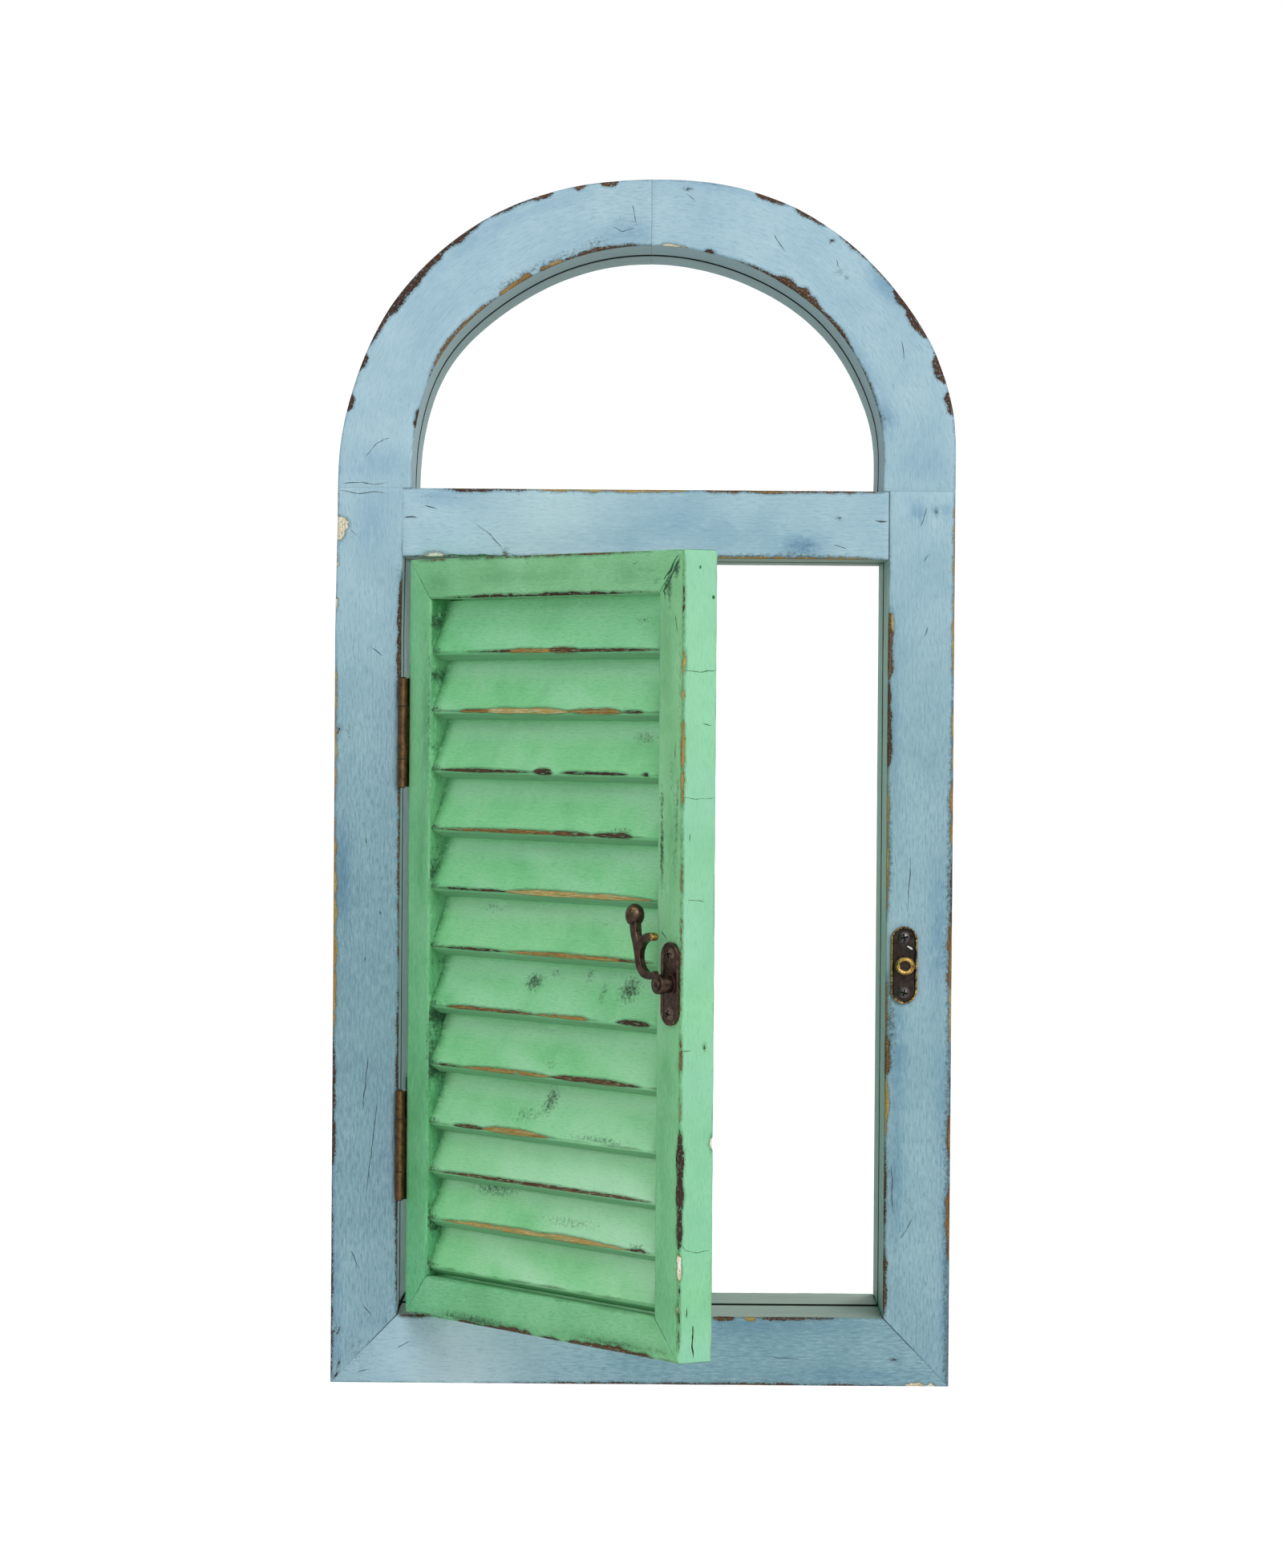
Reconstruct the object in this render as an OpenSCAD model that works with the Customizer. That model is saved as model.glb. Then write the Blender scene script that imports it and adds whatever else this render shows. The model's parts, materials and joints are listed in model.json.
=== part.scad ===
// Arched wall mirror in a deep wooden frame, with one hinged louvered shutter
// over its lower opening and a swing latch that hooks over a peg.
//
// The origin is the centre of the frame's bottom face. +Z is up and the
// front of the frame faces -Y. The shutter is drawn shut and then swung open
// about its hinge pins, and the latch arm is turned about its rivet.

/* [Frame] */
// Overall width of the frame
frame_w = 280; // [250:1:340]
// Depth of the frame from its front face to its back face
frame_d = 56; // [48:1:70]
// Width of the stiles and of the arch band
stile_w = 30; // [27:1:36]
// Height of the bottom rail
bottom_rail_h = 31; // [27:1:40]
// Height of the opening that the shutter closes
opening_h = 343; // [320:1:420]
// Height of the transom rail
transom_h = 31; // [26:1:40]
// Straight length at the foot of each arch half, on its outside
arch_leg = 7; // [5:0.5:12]
// Distance between the centres of the arch's two outer curves
arch_flat = 14; // [8:1:24]
// How far each foot of the arch stands in over the transom
arch_foot_in = 3; // [1:0.5:4]
// Height of the arch band at its crown
arch_crown = 29; // [26:0.5:30]

/* [Mirror and back] */
// Thickness of the mirror glass
glass_t = 3; // [2:0.5:5]
// Thickness of the backing board
board_t = 3; // [2:0.5:5]
// How deep the backing board lies below the back of the frame
board_recess = 1; // [0.8:0.1:2]
// Width of the step that the glass rests on
glass_step = 5; // [4:0.5:7]
// Width of the step that the backing board is nailed to
board_step = 4; // [3.5:0.5:6]
// Gap around the glass and the board in their pockets
panel_gap = 0.5; // [0.3:0.1:0.8]

/* [Dowels, nails and brads] */
// Radius of the dowels in the frame
dowel_r = 4; // [3:0.25:4.5]
// Length of the dowels
dowel_l = 24; // [18:1:26]
// Distance of each row of dowels from the front and from the glass
dowel_inset = 13; // [11:0.5:16]
// Height of the foot nails above the bottom face
foot_nail_h = 10; // [6:0.5:14]
// Distance of the foot nails from the front and the back
foot_nail_inset = 14; // [10:0.5:20]
// Length of the foot nails
foot_nail_l = 40; // [30:1:50]
// Radius of the foot nails
foot_nail_r = 0.9; // [0.7:0.1:1.3]
// Distance of the shutter's corner nails from its ends
corner_nail_in = 7.5; // [6:0.5:10]
// Length of the shutter's corner nails
corner_nail_l = 28; // [20:1:36]
// Radius of the shutter's corner nails
corner_nail_r = 0.7; // [0.5:0.1:1]
// Radius of the brads in the backing board
brad_r = 0.6; // [0.4:0.1:0.8]
// Length of the brads
brad_l = 12; // [8:1:16]
// Gap around each dowel, nail, brad and screw in its hole
fastener_gap = 0.05; // [0.03:0.01:0.1]

/* [Shutter] */
// How far the shutter stands open
open_angle = 55.5; // [0:0.5:170]
// Gap above and below the shutter
shutter_end_gap = 1.5; // [1:0.1:3]
// Thickness of the shutter
shutter_t = 17.5; // [16:0.5:22]
// Width of the shutter's stiles and rails
member_w = 18; // [16:0.5:22]

/* [Louvers] */
// Thickness of a louver
louver_t = 7; // [6:0.1:7.4]
// Lean of a louver from upright
louver_lean = 22; // [21:0.5:26]
// Setback of the louvers' lower edges from the front of the shutter
louver_front = 1; // [0.6:0.1:2]
// Setback of the louvers' upper edges from the back of the shutter
louver_back = 0.5; // [0.3:0.1:2]
// How far the back of the lower edge hangs below a square cut
louver_nose = 1.5; // [0.5:0.1:2]
// How much closer the lowest louvers stand than the average
louver_crowding = 3.5; // [0:0.1:4]
// How far each louver reaches into the stiles
louver_tenon = 4; // [3:0.25:6]
// Gap around a louver in its groove
louver_gap = 0.1; // [0.05:0.05:0.2]

/* [Hinges] */
// Length of each hinge
hinge_h = 49; // [44:0.5:60]
// Thickness of the hinge leaves
leaf_t = 0.9; // [0.7:0.05:1.4]
// Gap between the two leaves when the shutter is shut
leaf_gap = 0.2; // [0.15:0.05:0.5]
// Width of a hinge leaf, from its front edge to its back edge
leaf_w = 15; // [12:0.5:15.5]
// Radius of the hinge barrel
knuckle_r = 2.25; // [2.1:0.05:3]
// Length of the two end knuckles
end_knuckle = 12.3; // [8:0.1:15]
// Radius of the hinge pin
pin_r = 1.2; // [1:0.05:1.5]
// Gap around the hinge pin
pin_gap = 0.05; // [0.03:0.01:0.08]
// Gap between knuckles, and between the barrel and the other leaf
knuckle_gap = 0.25; // [0.15:0.05:0.3]
// Gap between the barrel and the front of the frame
barrel_gap = 0.15; // [0.15:0.05:0.6]
// Distance from the top of the opening to the top hinge
top_hinge_drop = 55; // [30:1:90]
// Distance from the foot of the opening to the bottom hinge
low_hinge_rise = 52.5; // [30:0.5:90]
// Radius of the hinge screws
hinge_screw_r = 1.2; // [1:0.1:1.4]
// Length of the hinge screws
hinge_screw_l = 10; // [8:0.5:12]

/* [Latch] */
// Height of the latch above the bottom face
latch_h = 191; // [150:1:230]
// Width of the latch and keeper plates
plate_w = 12; // [11:0.25:12.4]
// Length of the latch and keeper plates
plate_l = 35; // [32:0.5:42]
// Thickness of the latch and keeper plates
plate_t = 1.2; // [0.9:0.1:1.6]
// Height of the raised rim on the plates
rim_h = 0.6; // [0.4:0.1:1]
// Width of the raised rim on the plates
rim_w = 1; // [0.7:0.1:1.3]
// Distance from the middle of a plate to each of its screws
plate_screw_out = 12.5; // [11:0.25:13]
// Distance from the latch's rivet to the free edge of the shutter
rivet_inset = 6.3; // [6.2:0.1:8]
// Distance from the keeper's peg to the edge of the opening
peg_inset = 8.3; // [7:0.1:11]
// Height of the boss that carries the latch arm
boss_h = 4.8; // [4:0.1:6]
// Radius of the boss and of the hub that turns on it
hub_r = 4.2; // [3.8:0.1:4.6]
// Thickness of the latch arm
arm_t = 2.9; // [2:0.1:3.5]
// Width of the hook's curved band
band_w = 2.9; // [2.2:0.1:3.2]
// Radius of the bay inside the hook
bay_r = 6.7; // [6.2:0.1:7.2]
// Radius of the rivet's shank
rivet_r = 1.55; // [1.3:0.05:1.9]
// Radius of the rivet's head
rivet_head_r = 2.7; // [2.3:0.1:3.4]
// Gap above and below the arm, at its boss, its rivet and the peg's head
arm_gap = 0.2; // [0.15:0.05:0.4]
// Radius of the peg's neck
neck_r = 1.6; // [1.3:0.1:1.8]
// Radius of the peg's button head
button_r = 3.9; // [3.3:0.1:4.4]
// Thickness of the peg's button head
button_h = 2.4; // [1.8:0.1:3.2]
// Gap between the hook and the peg's neck when the latch is hooked
hook_gap = 0.4; // [0.3:0.05:0.6]
// Radius of the knob at the end of the arm
knob_r = 3.6; // [3:0.1:4.4]
// Distance from the rivet to the middle of the knob
knob_out = 35.5; // [33:0.5:42]
// How far the arm is raised from level
arm_raise = 119; // [60:1:150]
// Radius of the latch and keeper screws
plate_screw_r = 1.3; // [1:0.1:1.5]
// Radius of the latch and keeper screw heads
plate_head_r = 2.9; // [2.5:0.1:3.3]
// Length of the latch and keeper screws below their heads
plate_screw_l = 11; // [8:0.5:14]

/* [Hanging plate] */
// Width of the hanging plate
hanger_w = 40; // [36:1:50]
// Height of the hanging plate
hanger_h = 16; // [15:0.5:17]
// Thickness of the hanging plate
hanger_t = 1.5; // [1:0.1:2]
// Distance from the top of the arch to the middle of the plate
hanger_drop = 10.5; // [10:0.25:11]
// Radius of the round hole that a wall screw's head goes through
keyhole_r = 4; // [3.5:0.1:4.5]
// Width of the slot that a wall screw's shank slides in
keyslot_w = 4; // [3:0.1:5]
// Depth of the space behind the keyhole for a wall screw's head
keyhole_depth = 6; // [4:0.25:7]
// Distance from the middle of the plate to each of its screws
hanger_screw_out = 14; // [12:0.5:16]
// Radius of the hanging plate's screws
hanger_screw_r = 1.4; // [1:0.1:1.6]
// Length of the hanging plate's screws
hanger_screw_l = 12; // [8:0.5:16]

/* [Hidden] */
$fn = 72;
LOUVERS = 12;
CROWDED = 3;

frame_blue = [0.60, 0.72, 0.79];
shutter_green = [0.45, 0.75, 0.52];
louver_green = [0.50, 0.79, 0.57];
bare_wood = [0.76, 0.62, 0.42];
mirror_grey = [0.86, 0.88, 0.90];
board_brown = [0.52, 0.40, 0.28];
old_bronze = [0.26, 0.20, 0.15];
bright_steel = [0.68, 0.69, 0.70];

// A cut runs this much past the face that it opens.
past = 1;
// Nail heads, brad heads and the flare of a countersunk screw's head.
nail_head = 1.8;
nail_head_h = 0.8;
brad_head_h = 0.4;
head_flare = 1.8;

// Frame, seen from the front.
opening_w = frame_w - 2 * stile_w;
opening_top = bottom_rail_h + opening_h;
transom_top = opening_top + transom_h;
arch_z = transom_top + arch_leg;
pocket_r = (opening_w - arch_flat) / 2;
frame_h = arch_z + pocket_r + stile_w;
arch_in_r = opening_w / 2 - arch_foot_in;
arch_in_z = frame_h - arch_crown - arch_in_r;

// Frame, from front to back.
front_y = -frame_d / 2;
back_y = frame_d / 2;
board_back = back_y - board_recess;
board_front = board_back - board_t;
glass_front = board_front - glass_t;
board_reach = glass_step + board_step;
dowel_ys = [front_y + dowel_inset, glass_front - dowel_inset];

// Shutter, as it stands when shut.
side_gap = 2 * leaf_t + leaf_gap;
shutter_w = opening_w - 2 * side_gap;
shutter_h = opening_h - 2 * shutter_end_gap;
shutter_low = bottom_rail_h + shutter_end_gap;
shutter_top = shutter_low + shutter_h;
shutter_back = front_y + shutter_t;
field_w = shutter_w - 2 * member_w;
field_low = shutter_low + member_w;
field_top = shutter_top - member_w;

// Louvers: across the thickness, along the lean, and from one to the next.
louver_deep = shutter_t - louver_front - louver_back;
louver_face = (louver_deep - louver_t * cos(louver_lean)) / sin(louver_lean);
louver_rise = louver_face * cos(louver_lean);
louver_drop = louver_t * sin(louver_lean) + louver_nose * cos(louver_lean);
louver_end_gap = 0.4;
louver_first = field_top - louver_end_gap - louver_rise;
louver_last = field_low + louver_end_gap + louver_drop;
louver_pitch = (louver_first - louver_last) / (LOUVERS - 1);
SPACED = LOUVERS - 1 - CROWDED;
wide_pitch = louver_pitch + louver_crowding * CROWDED / SPACED;
close_pitch = louver_pitch - louver_crowding;

// Hinges.
pin_x = -opening_w / 2 + side_gap / 2;
pin_y = front_y - barrel_gap - knuckle_r;
leaf_y = pin_y + knuckle_r + knuckle_gap;
top_hinge_z = opening_top - top_hinge_drop - hinge_h;
low_hinge_z = bottom_rail_h + low_hinge_rise;
HINGES = [top_hinge_z, low_hinge_z];
pin_head = 0.6;

// Latch: the peg's place and the hook's bay, from the rivet.
rivet_x = shutter_w / 2 - rivet_inset;
peg_x = opening_w / 2 + peg_inset;
reach = peg_x - rivet_x;
swing_gap = 0.3;
arm_low = boss_h + arm_gap;
arm_top = arm_low + arm_t;
bay_margin = 1.4;
bay_out = reach + neck_r + bay_margin - bay_r;
band_mid_r = bay_r + band_w / 2;
seat_side = bay_r - neck_r - hook_gap;
seat_turn = acos((bay_out^2 + reach^2 - seat_side^2) / (2 * bay_out * reach));
tip_r = reach + neck_r + swing_gap + band_w / 2;
tip_angle = acos((tip_r^2 - bay_out^2 - band_mid_r^2) / (2 * bay_out * band_mid_r));
head_h = 1.3;

// Where louver number i, counted from the top, has its lower front edge.
function louver_z(i) =
    louver_first
    - wide_pitch * min(i, SPACED)
    - close_pitch * max(i - SPACED, 0);

// A louver's section as points (y, z), grown by g on every side.
function louver_section(i, g) =
    let (up = [sin(louver_lean), cos(louver_lean)])
    let (back = [cos(louver_lean), -sin(louver_lean)])
    let (edge = [front_y + louver_front, louver_z(i)])
    [
        edge - g * up - g * back,
        edge + (louver_face + g) * up - g * back,
        edge + (louver_face + g) * up + (louver_t + g) * back,
        edge - (louver_nose + g) * up + (louver_t + g) * back
    ];

// ---------------------------------------------------------------- helpers

// Draws a flat shape given as (x, z), and pulls it from y = from to y = to.
module slab(from, to) {
    translate([0, to, 0])
        rotate([90, 0, 0])
            linear_extrude(to - from) children();
}

// The frame's outline drawn in by its members' width, then grown by e.
module frame_outline(e) {
    half = opening_w / 2 + e;
    translate([-half, bottom_rail_h - e])
        square([2 * half, arch_z - bottom_rail_h + e]);
    translate([-arch_flat / 2, arch_z])
        square([arch_flat, pocket_r + e]);
    for (side = [-1, 1])
        translate([side * arch_flat / 2, arch_z])
            intersection() {
                circle(pocket_r + e, $fn = 144);
                translate([-frame_w, 0])
                    square([2 * frame_w, frame_w]);
            }
}

// The opening under the arch, open at its foot.
module arch_opening() {
    translate([0, arch_in_z])
        circle(arch_in_r, $fn = 144);
    translate([-arch_in_r, transom_top - past])
        square([2 * arch_in_r, arch_in_z - transom_top + past]);
}

// A rod of radius r along +X, +Y or +Z.
module rod_x(r, l) {
    rotate([0, 90, 0]) cylinder(r = r, h = l);
}

module rod_y(r, l) {
    rotate([-90, 0, 0]) cylinder(r = r, h = l);
}

// A plate outline with round ends, along y.
module stadium(w, l) {
    square([w, l - w], center = true);
    for (end = [-1, 1])
        translate([0, end * (l - w) / 2]) circle(w / 2);
}

// Places what is drawn flat, with its height along z, on the frame's front.
module on_front(x, z) {
    translate([x, front_y, z])
        rotate([90, 0, 0]) children();
}

// Swings what is drawn shut to where the shutter stands.
module at_shutter() {
    translate([pin_x, pin_y, 0])
        rotate([0, 0, -open_angle])
            translate([-pin_x, -pin_y, 0]) children();
}

// --------------------------------------------------------------- pockets

// The glass and the backing board lie in these, open to the back.
module panel_pockets() {
    slab(glass_front, back_y + past) frame_outline(glass_step);
    slab(board_front, back_y + past) frame_outline(board_reach);
}

// Where the brads stand, as (x, z) round the board's edge.
brad_e = glass_step + board_step / 2;
brad_half = opening_w / 2 + brad_e;
brad_low = bottom_rail_h - brad_e;
BRAD_ROWS = 4;
BRAD_ANGLES = [15, 45, 75];
BRADS = concat(
    [for (side = [-1, 1], i = [0 : BRAD_ROWS - 1])
        [side * brad_half, bottom_rail_h + opening_h * (i + 0.5) / BRAD_ROWS]],
    [for (side = [-1, 1]) [side * opening_w / 4, brad_low]],
    [for (side = [-1, 1], a = BRAD_ANGLES)
        [side * (arch_flat / 2 + (pocket_r + brad_e) * cos(a)),
         arch_z + (pocket_r + brad_e) * sin(a)]]
);

module brad_shanks(grow) {
    for (p = BRADS)
        translate([p[0], board_back - brad_l - grow, p[1]])
            rod_y(brad_r + grow, brad_l + 2 * grow);
}

// Dowels between the stiles and the transom, and in the arch joints.
module transom_dowel_rods(grow) {
    for (side = [-1, 1], y = dowel_ys)
        translate([side * opening_w / 2 - dowel_l / 2 - grow, y, opening_top + transom_h / 2])
            rod_x(dowel_r + grow, dowel_l + 2 * grow);
}

module arch_dowel_rods(grow) {
    for (side = [-1, 1], y = dowel_ys)
        translate([side * (opening_w + stile_w) / 2, y, transom_top - dowel_l / 2 - grow])
            cylinder(r = dowel_r + grow, h = dowel_l + 2 * grow);
    for (y = dowel_ys)
        translate([-dowel_l / 2 - grow, y, frame_h - stile_w / 2])
            rod_x(dowel_r + grow, dowel_l + 2 * grow);
}

// Nails driven in from the sides, across the foot mitres.
module foot_nail_rods(grow) {
    for (side = [-1, 1], y = [front_y + foot_nail_inset, back_y - foot_nail_inset])
        translate([side * frame_w / 2, y, foot_nail_h])
            rotate([0, -side * 90, 0]) {
                cylinder(r = foot_nail_r + grow, h = foot_nail_l + grow);
                translate([0, 0, -grow])
                    cylinder(r = nail_head + grow, h = nail_head_h + 2 * grow);
            }
}

// Shanks of the hinge screws, for the frame (side -1) or the shutter (side 1).
module hinge_screw_rods(side, grow) {
    face = side < 0 ? -opening_w / 2 + leaf_t : -shutter_w / 2 - leaf_t;
    near = leaf_y + leaf_w * 0.35;
    far = leaf_y + leaf_w * 0.65;
    for (z = HINGES, i = [-1, 0, 1])
        translate([face, i == 0 ? far : near, z + hinge_h / 2 + i * hinge_h / 3])
            rotate([0, side * 90, 0]) {
                cylinder(r = hinge_screw_r + grow, h = hinge_screw_l + grow);
                cylinder(r1 = head_flare * hinge_screw_r + grow, r2 = hinge_screw_r + grow, h = leaf_t);
            }
}

// Shanks of the two screws of a plate that lies on a front face.
module plate_screw_rods(grow) {
    for (end = [-1, 1])
        translate([0, end * plate_screw_out, -plate_screw_l])
            cylinder(r = plate_screw_r + grow, h = plate_screw_l + plate_t);
}

// Screws of the hanging plate, driven in from the back.
module hanging_screw_rods(grow) {
    for (side = [-1, 1])
        translate([side * hanger_screw_out, back_y, frame_h - hanger_drop])
            rotate([90, 0, 0]) {
                cylinder(r = hanger_screw_r + grow, h = hanger_screw_l + grow);
                cylinder(r1 = head_flare * hanger_screw_r + grow, r2 = hanger_screw_r + grow, h = hanger_t);
            }
}

// ----------------------------------------------------------------- frame

module stile(side) {
    outer = side * frame_w / 2;
    inner = side * opening_w / 2;
    color(frame_blue)
        difference() {
            slab(front_y, back_y)
                polygon([
                    [outer, 0], [inner, bottom_rail_h],
                    [inner, transom_top], [outer, transom_top]
                ]);
            panel_pockets();
            transom_dowel_rods(fastener_gap);
            arch_dowel_rods(fastener_gap);
            foot_nail_rods(fastener_gap);
            brad_shanks(fastener_gap);
            if (side < 0)
                hinge_screw_rods(-1, fastener_gap);
            else
                on_front(peg_x, latch_h) plate_screw_rods(fastener_gap);
        }
}

module stile_left() {
    stile(-1);
}

module stile_right() {
    stile(1);
}

module bottom_rail() {
    color(frame_blue)
        difference() {
            slab(front_y, back_y)
                polygon([
                    [-frame_w / 2, 0], [frame_w / 2, 0],
                    [opening_w / 2, bottom_rail_h], [-opening_w / 2, bottom_rail_h]
                ]);
            panel_pockets();
            foot_nail_rods(fastener_gap);
            brad_shanks(fastener_gap);
        }
}

module transom_rail() {
    color(frame_blue)
        difference() {
            translate([-opening_w / 2, front_y, opening_top])
                cube([opening_w, glass_front - front_y, transom_h]);
            transom_dowel_rods(fastener_gap);
        }
}

module arch_half(side) {
    color(frame_blue)
        difference() {
            slab(front_y, back_y)
                intersection() {
                    difference() {
                        frame_outline(stile_w);
                        arch_opening();
                    }
                    translate([side < 0 ? -frame_w : 0, transom_top])
                        square([frame_w, frame_w]);
                }
            panel_pockets();
            arch_dowel_rods(fastener_gap);
            brad_shanks(fastener_gap);
            hanger_pocket();
        }
}

module arch_left() {
    arch_half(-1);
}

module arch_right() {
    arch_half(1);
}

module mirror_glass() {
    color(mirror_grey)
        slab(glass_front, board_front) frame_outline(glass_step - panel_gap);
}

module backing_board() {
    color(board_brown)
        difference() {
            slab(board_front, board_back) frame_outline(board_reach - panel_gap);
            brad_shanks(fastener_gap);
        }
}

module backing_brads() {
    color(bright_steel) {
        brad_shanks(0);
        for (p = BRADS)
            translate([p[0], board_back, p[1]])
                rod_y(2 * brad_r, brad_head_h);
    }
}

module transom_dowels() {
    color(bare_wood) transom_dowel_rods(0);
}

module arch_dowels() {
    color(bare_wood) arch_dowel_rods(0);
}

module foot_nails() {
    color(bright_steel) foot_nail_rods(0);
}

// --------------------------------------------------------- hanging plate

// The keyhole: a round hole, and a slot above it of the given width.
module keyhole(hole_r, slot_w, slot_up) {
    circle(hole_r);
    translate([-slot_w / 2, 0])
        square([slot_w, slot_up]);
    translate([0, slot_up]) circle(slot_w / 2);
}

keyhole_edge = 2.5;
keyhole_down = hanger_h / 2 - keyhole_r - keyhole_edge;
slot_up = hanger_h / 2 + keyhole_down - keyslot_w / 2 - keyhole_edge;
keyhole_z = frame_h - hanger_drop - keyhole_down;

module hanger_pocket() {
    fit = 2 * fastener_gap;
    translate([-hanger_w / 2 - fit, back_y - hanger_t, frame_h - hanger_drop - hanger_h / 2 - fit])
        cube([hanger_w + 2 * fit, hanger_t + past, hanger_h + 2 * fit]);
    translate([0, 0, keyhole_z])
        slab(back_y - hanger_t - keyhole_depth, back_y)
            keyhole(keyhole_r + 0.5, 2 * keyhole_r, slot_up - keyhole_r + keyslot_w / 2);
    hanging_screw_rods(fastener_gap);
}

module hanging_plate() {
    color(bright_steel)
        difference() {
            translate([-hanger_w / 2, back_y - hanger_t, frame_h - hanger_drop - hanger_h / 2])
                cube([hanger_w, hanger_t, hanger_h]);
            translate([0, 0, keyhole_z])
                slab(back_y - hanger_t - past, back_y + past)
                    keyhole(keyhole_r, keyslot_w, slot_up);
            hanging_screw_rods(fastener_gap);
        }
}

module hanging_screws() {
    color(bright_steel) hanging_screw_rods(0);
}

// ---------------------------------------------------------------- hinges

// One leaf: its plate, drawn from x = from, and the knuckles that it holds.
module hinge_leaf(z, from, own, others) {
    difference() {
        union() {
            translate([from, leaf_y, z])
                cube([leaf_t, leaf_w, hinge_h]);
            for (k = own) {
                translate([pin_x, pin_y, z + k[0]])
                    cylinder(r = knuckle_r, h = k[1]);
                translate([from, pin_y, z + k[0]])
                    cube([leaf_t, leaf_y - pin_y + past, k[1]]);
            }
        }
        for (k = others)
            translate([pin_x, pin_y, z + k[0] - knuckle_gap])
                cylinder(r = knuckle_r + knuckle_gap, h = k[1] + 2 * knuckle_gap);
        translate([pin_x, pin_y, z - past])
            cylinder(r = pin_r + pin_gap, h = hinge_h + 2 * past);
    }
}

end_knuckles = [[0, end_knuckle], [hinge_h - end_knuckle, end_knuckle]];
mid_knuckle = [[end_knuckle + knuckle_gap, hinge_h - 2 * (end_knuckle + knuckle_gap)]];

module frame_leaf(z) {
    color(old_bronze)
        difference() {
            hinge_leaf(z, -opening_w / 2, end_knuckles, mid_knuckle);
            hinge_screw_rods(-1, fastener_gap);
        }
}

module shutter_leaf(z) {
    color(old_bronze)
        at_shutter()
            difference() {
                hinge_leaf(z, -shutter_w / 2 - leaf_t, mid_knuckle, end_knuckles);
                hinge_screw_rods(1, fastener_gap);
            }
}

module hinge_pin(z) {
    color(old_bronze)
        translate([pin_x, pin_y, z]) {
            translate([0, 0, -pin_head])
                cylinder(r = pin_r, h = hinge_h + pin_head);
            translate([0, 0, hinge_h])
                cylinder(r1 = knuckle_r - 0.2, r2 = pin_r, h = pin_head);
        }
}

module hinge_top_frame_leaf() {
    frame_leaf(top_hinge_z);
}

module hinge_bottom_frame_leaf() {
    frame_leaf(low_hinge_z);
}

module hinge_top_shutter_leaf() {
    shutter_leaf(top_hinge_z);
}

module hinge_bottom_shutter_leaf() {
    shutter_leaf(low_hinge_z);
}

module hinge_top_pin() {
    hinge_pin(top_hinge_z);
}

module hinge_bottom_pin() {
    hinge_pin(low_hinge_z);
}

module frame_hinge_screws() {
    color(old_bronze) hinge_screw_rods(-1, 0);
}

module shutter_hinge_screws() {
    color(old_bronze)
        at_shutter() hinge_screw_rods(1, 0);
}

// --------------------------------------------------------------- shutter

// Slanted grooves for all the louvers, in both stiles.
module louver_grooves() {
    tenon_gap = 0.3;
    reach_in = field_w / 2 + louver_tenon + tenon_gap;
    for (i = [0 : LOUVERS - 1])
        translate([-reach_in, 0, 0])
            rotate([90, 0, 90])
                linear_extrude(2 * reach_in) polygon(louver_section(i, louver_gap));
}

// Nails driven in from the shutter's sides, across its corner mitres.
module corner_nail_rods(grow) {
    for (side = [-1, 1], z = [shutter_low + corner_nail_in, shutter_top - corner_nail_in])
        translate([side * shutter_w / 2, front_y + shutter_t / 2, z])
            rotate([0, -side * 90, 0]) {
                cylinder(r = corner_nail_r + grow, h = corner_nail_l + grow);
                translate([0, 0, -grow])
                    cylinder(r = head_flare * corner_nail_r + grow, h = nail_head_h + 2 * grow);
            }
}

// A stile or rail of the shutter from its outline in (x, z), less its holes.
module shutter_member(points) {
    color(shutter_green)
        at_shutter()
            difference() {
                slab(front_y, shutter_back) polygon(points);
                corner_nail_rods(fastener_gap);
                children();
            }
}

module shutter_stile_hinge() {
    shutter_member([
        [-shutter_w / 2, shutter_low], [-field_w / 2, field_low],
        [-field_w / 2, field_top], [-shutter_w / 2, shutter_top]
    ]) {
        louver_grooves();
        hinge_screw_rods(1, fastener_gap);
    }
}

module shutter_stile_latch() {
    shutter_member([
        [shutter_w / 2, shutter_low], [field_w / 2, field_low],
        [field_w / 2, field_top], [shutter_w / 2, shutter_top]
    ]) {
        louver_grooves();
        on_front(rivet_x, latch_h) plate_screw_rods(fastener_gap);
    }
}

module shutter_rail_top() {
    shutter_member([
        [-shutter_w / 2, shutter_top], [shutter_w / 2, shutter_top],
        [field_w / 2, field_top], [-field_w / 2, field_top]
    ]);
}

module shutter_rail_bottom() {
    shutter_member([
        [-shutter_w / 2, shutter_low], [shutter_w / 2, shutter_low],
        [field_w / 2, field_low], [-field_w / 2, field_low]
    ]);
}

module shutter_corner_nails() {
    color(bright_steel)
        at_shutter() corner_nail_rods(0);
}

module louver(number) {
    half = field_w / 2 + louver_tenon;
    color(louver_green)
        at_shutter()
            translate([-half, 0, 0])
                rotate([90, 0, 90])
                    linear_extrude(2 * half) polygon(louver_section(number - 1, 0));
}

// ----------------------------------------------------------------- latch

// A plate with round ends, a raised rim and two screw holes.
module rimmed_plate() {
    difference() {
        union() {
            linear_extrude(plate_t) stadium(plate_w, plate_l);
            linear_extrude(plate_t + rim_h)
                difference() {
                    stadium(plate_w, plate_l);
                    stadium(plate_w - 2 * rim_w, plate_l - 2 * rim_w);
                }
        }
        translate([0, 0, past]) plate_screw_rods(fastener_gap);
    }
}

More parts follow.
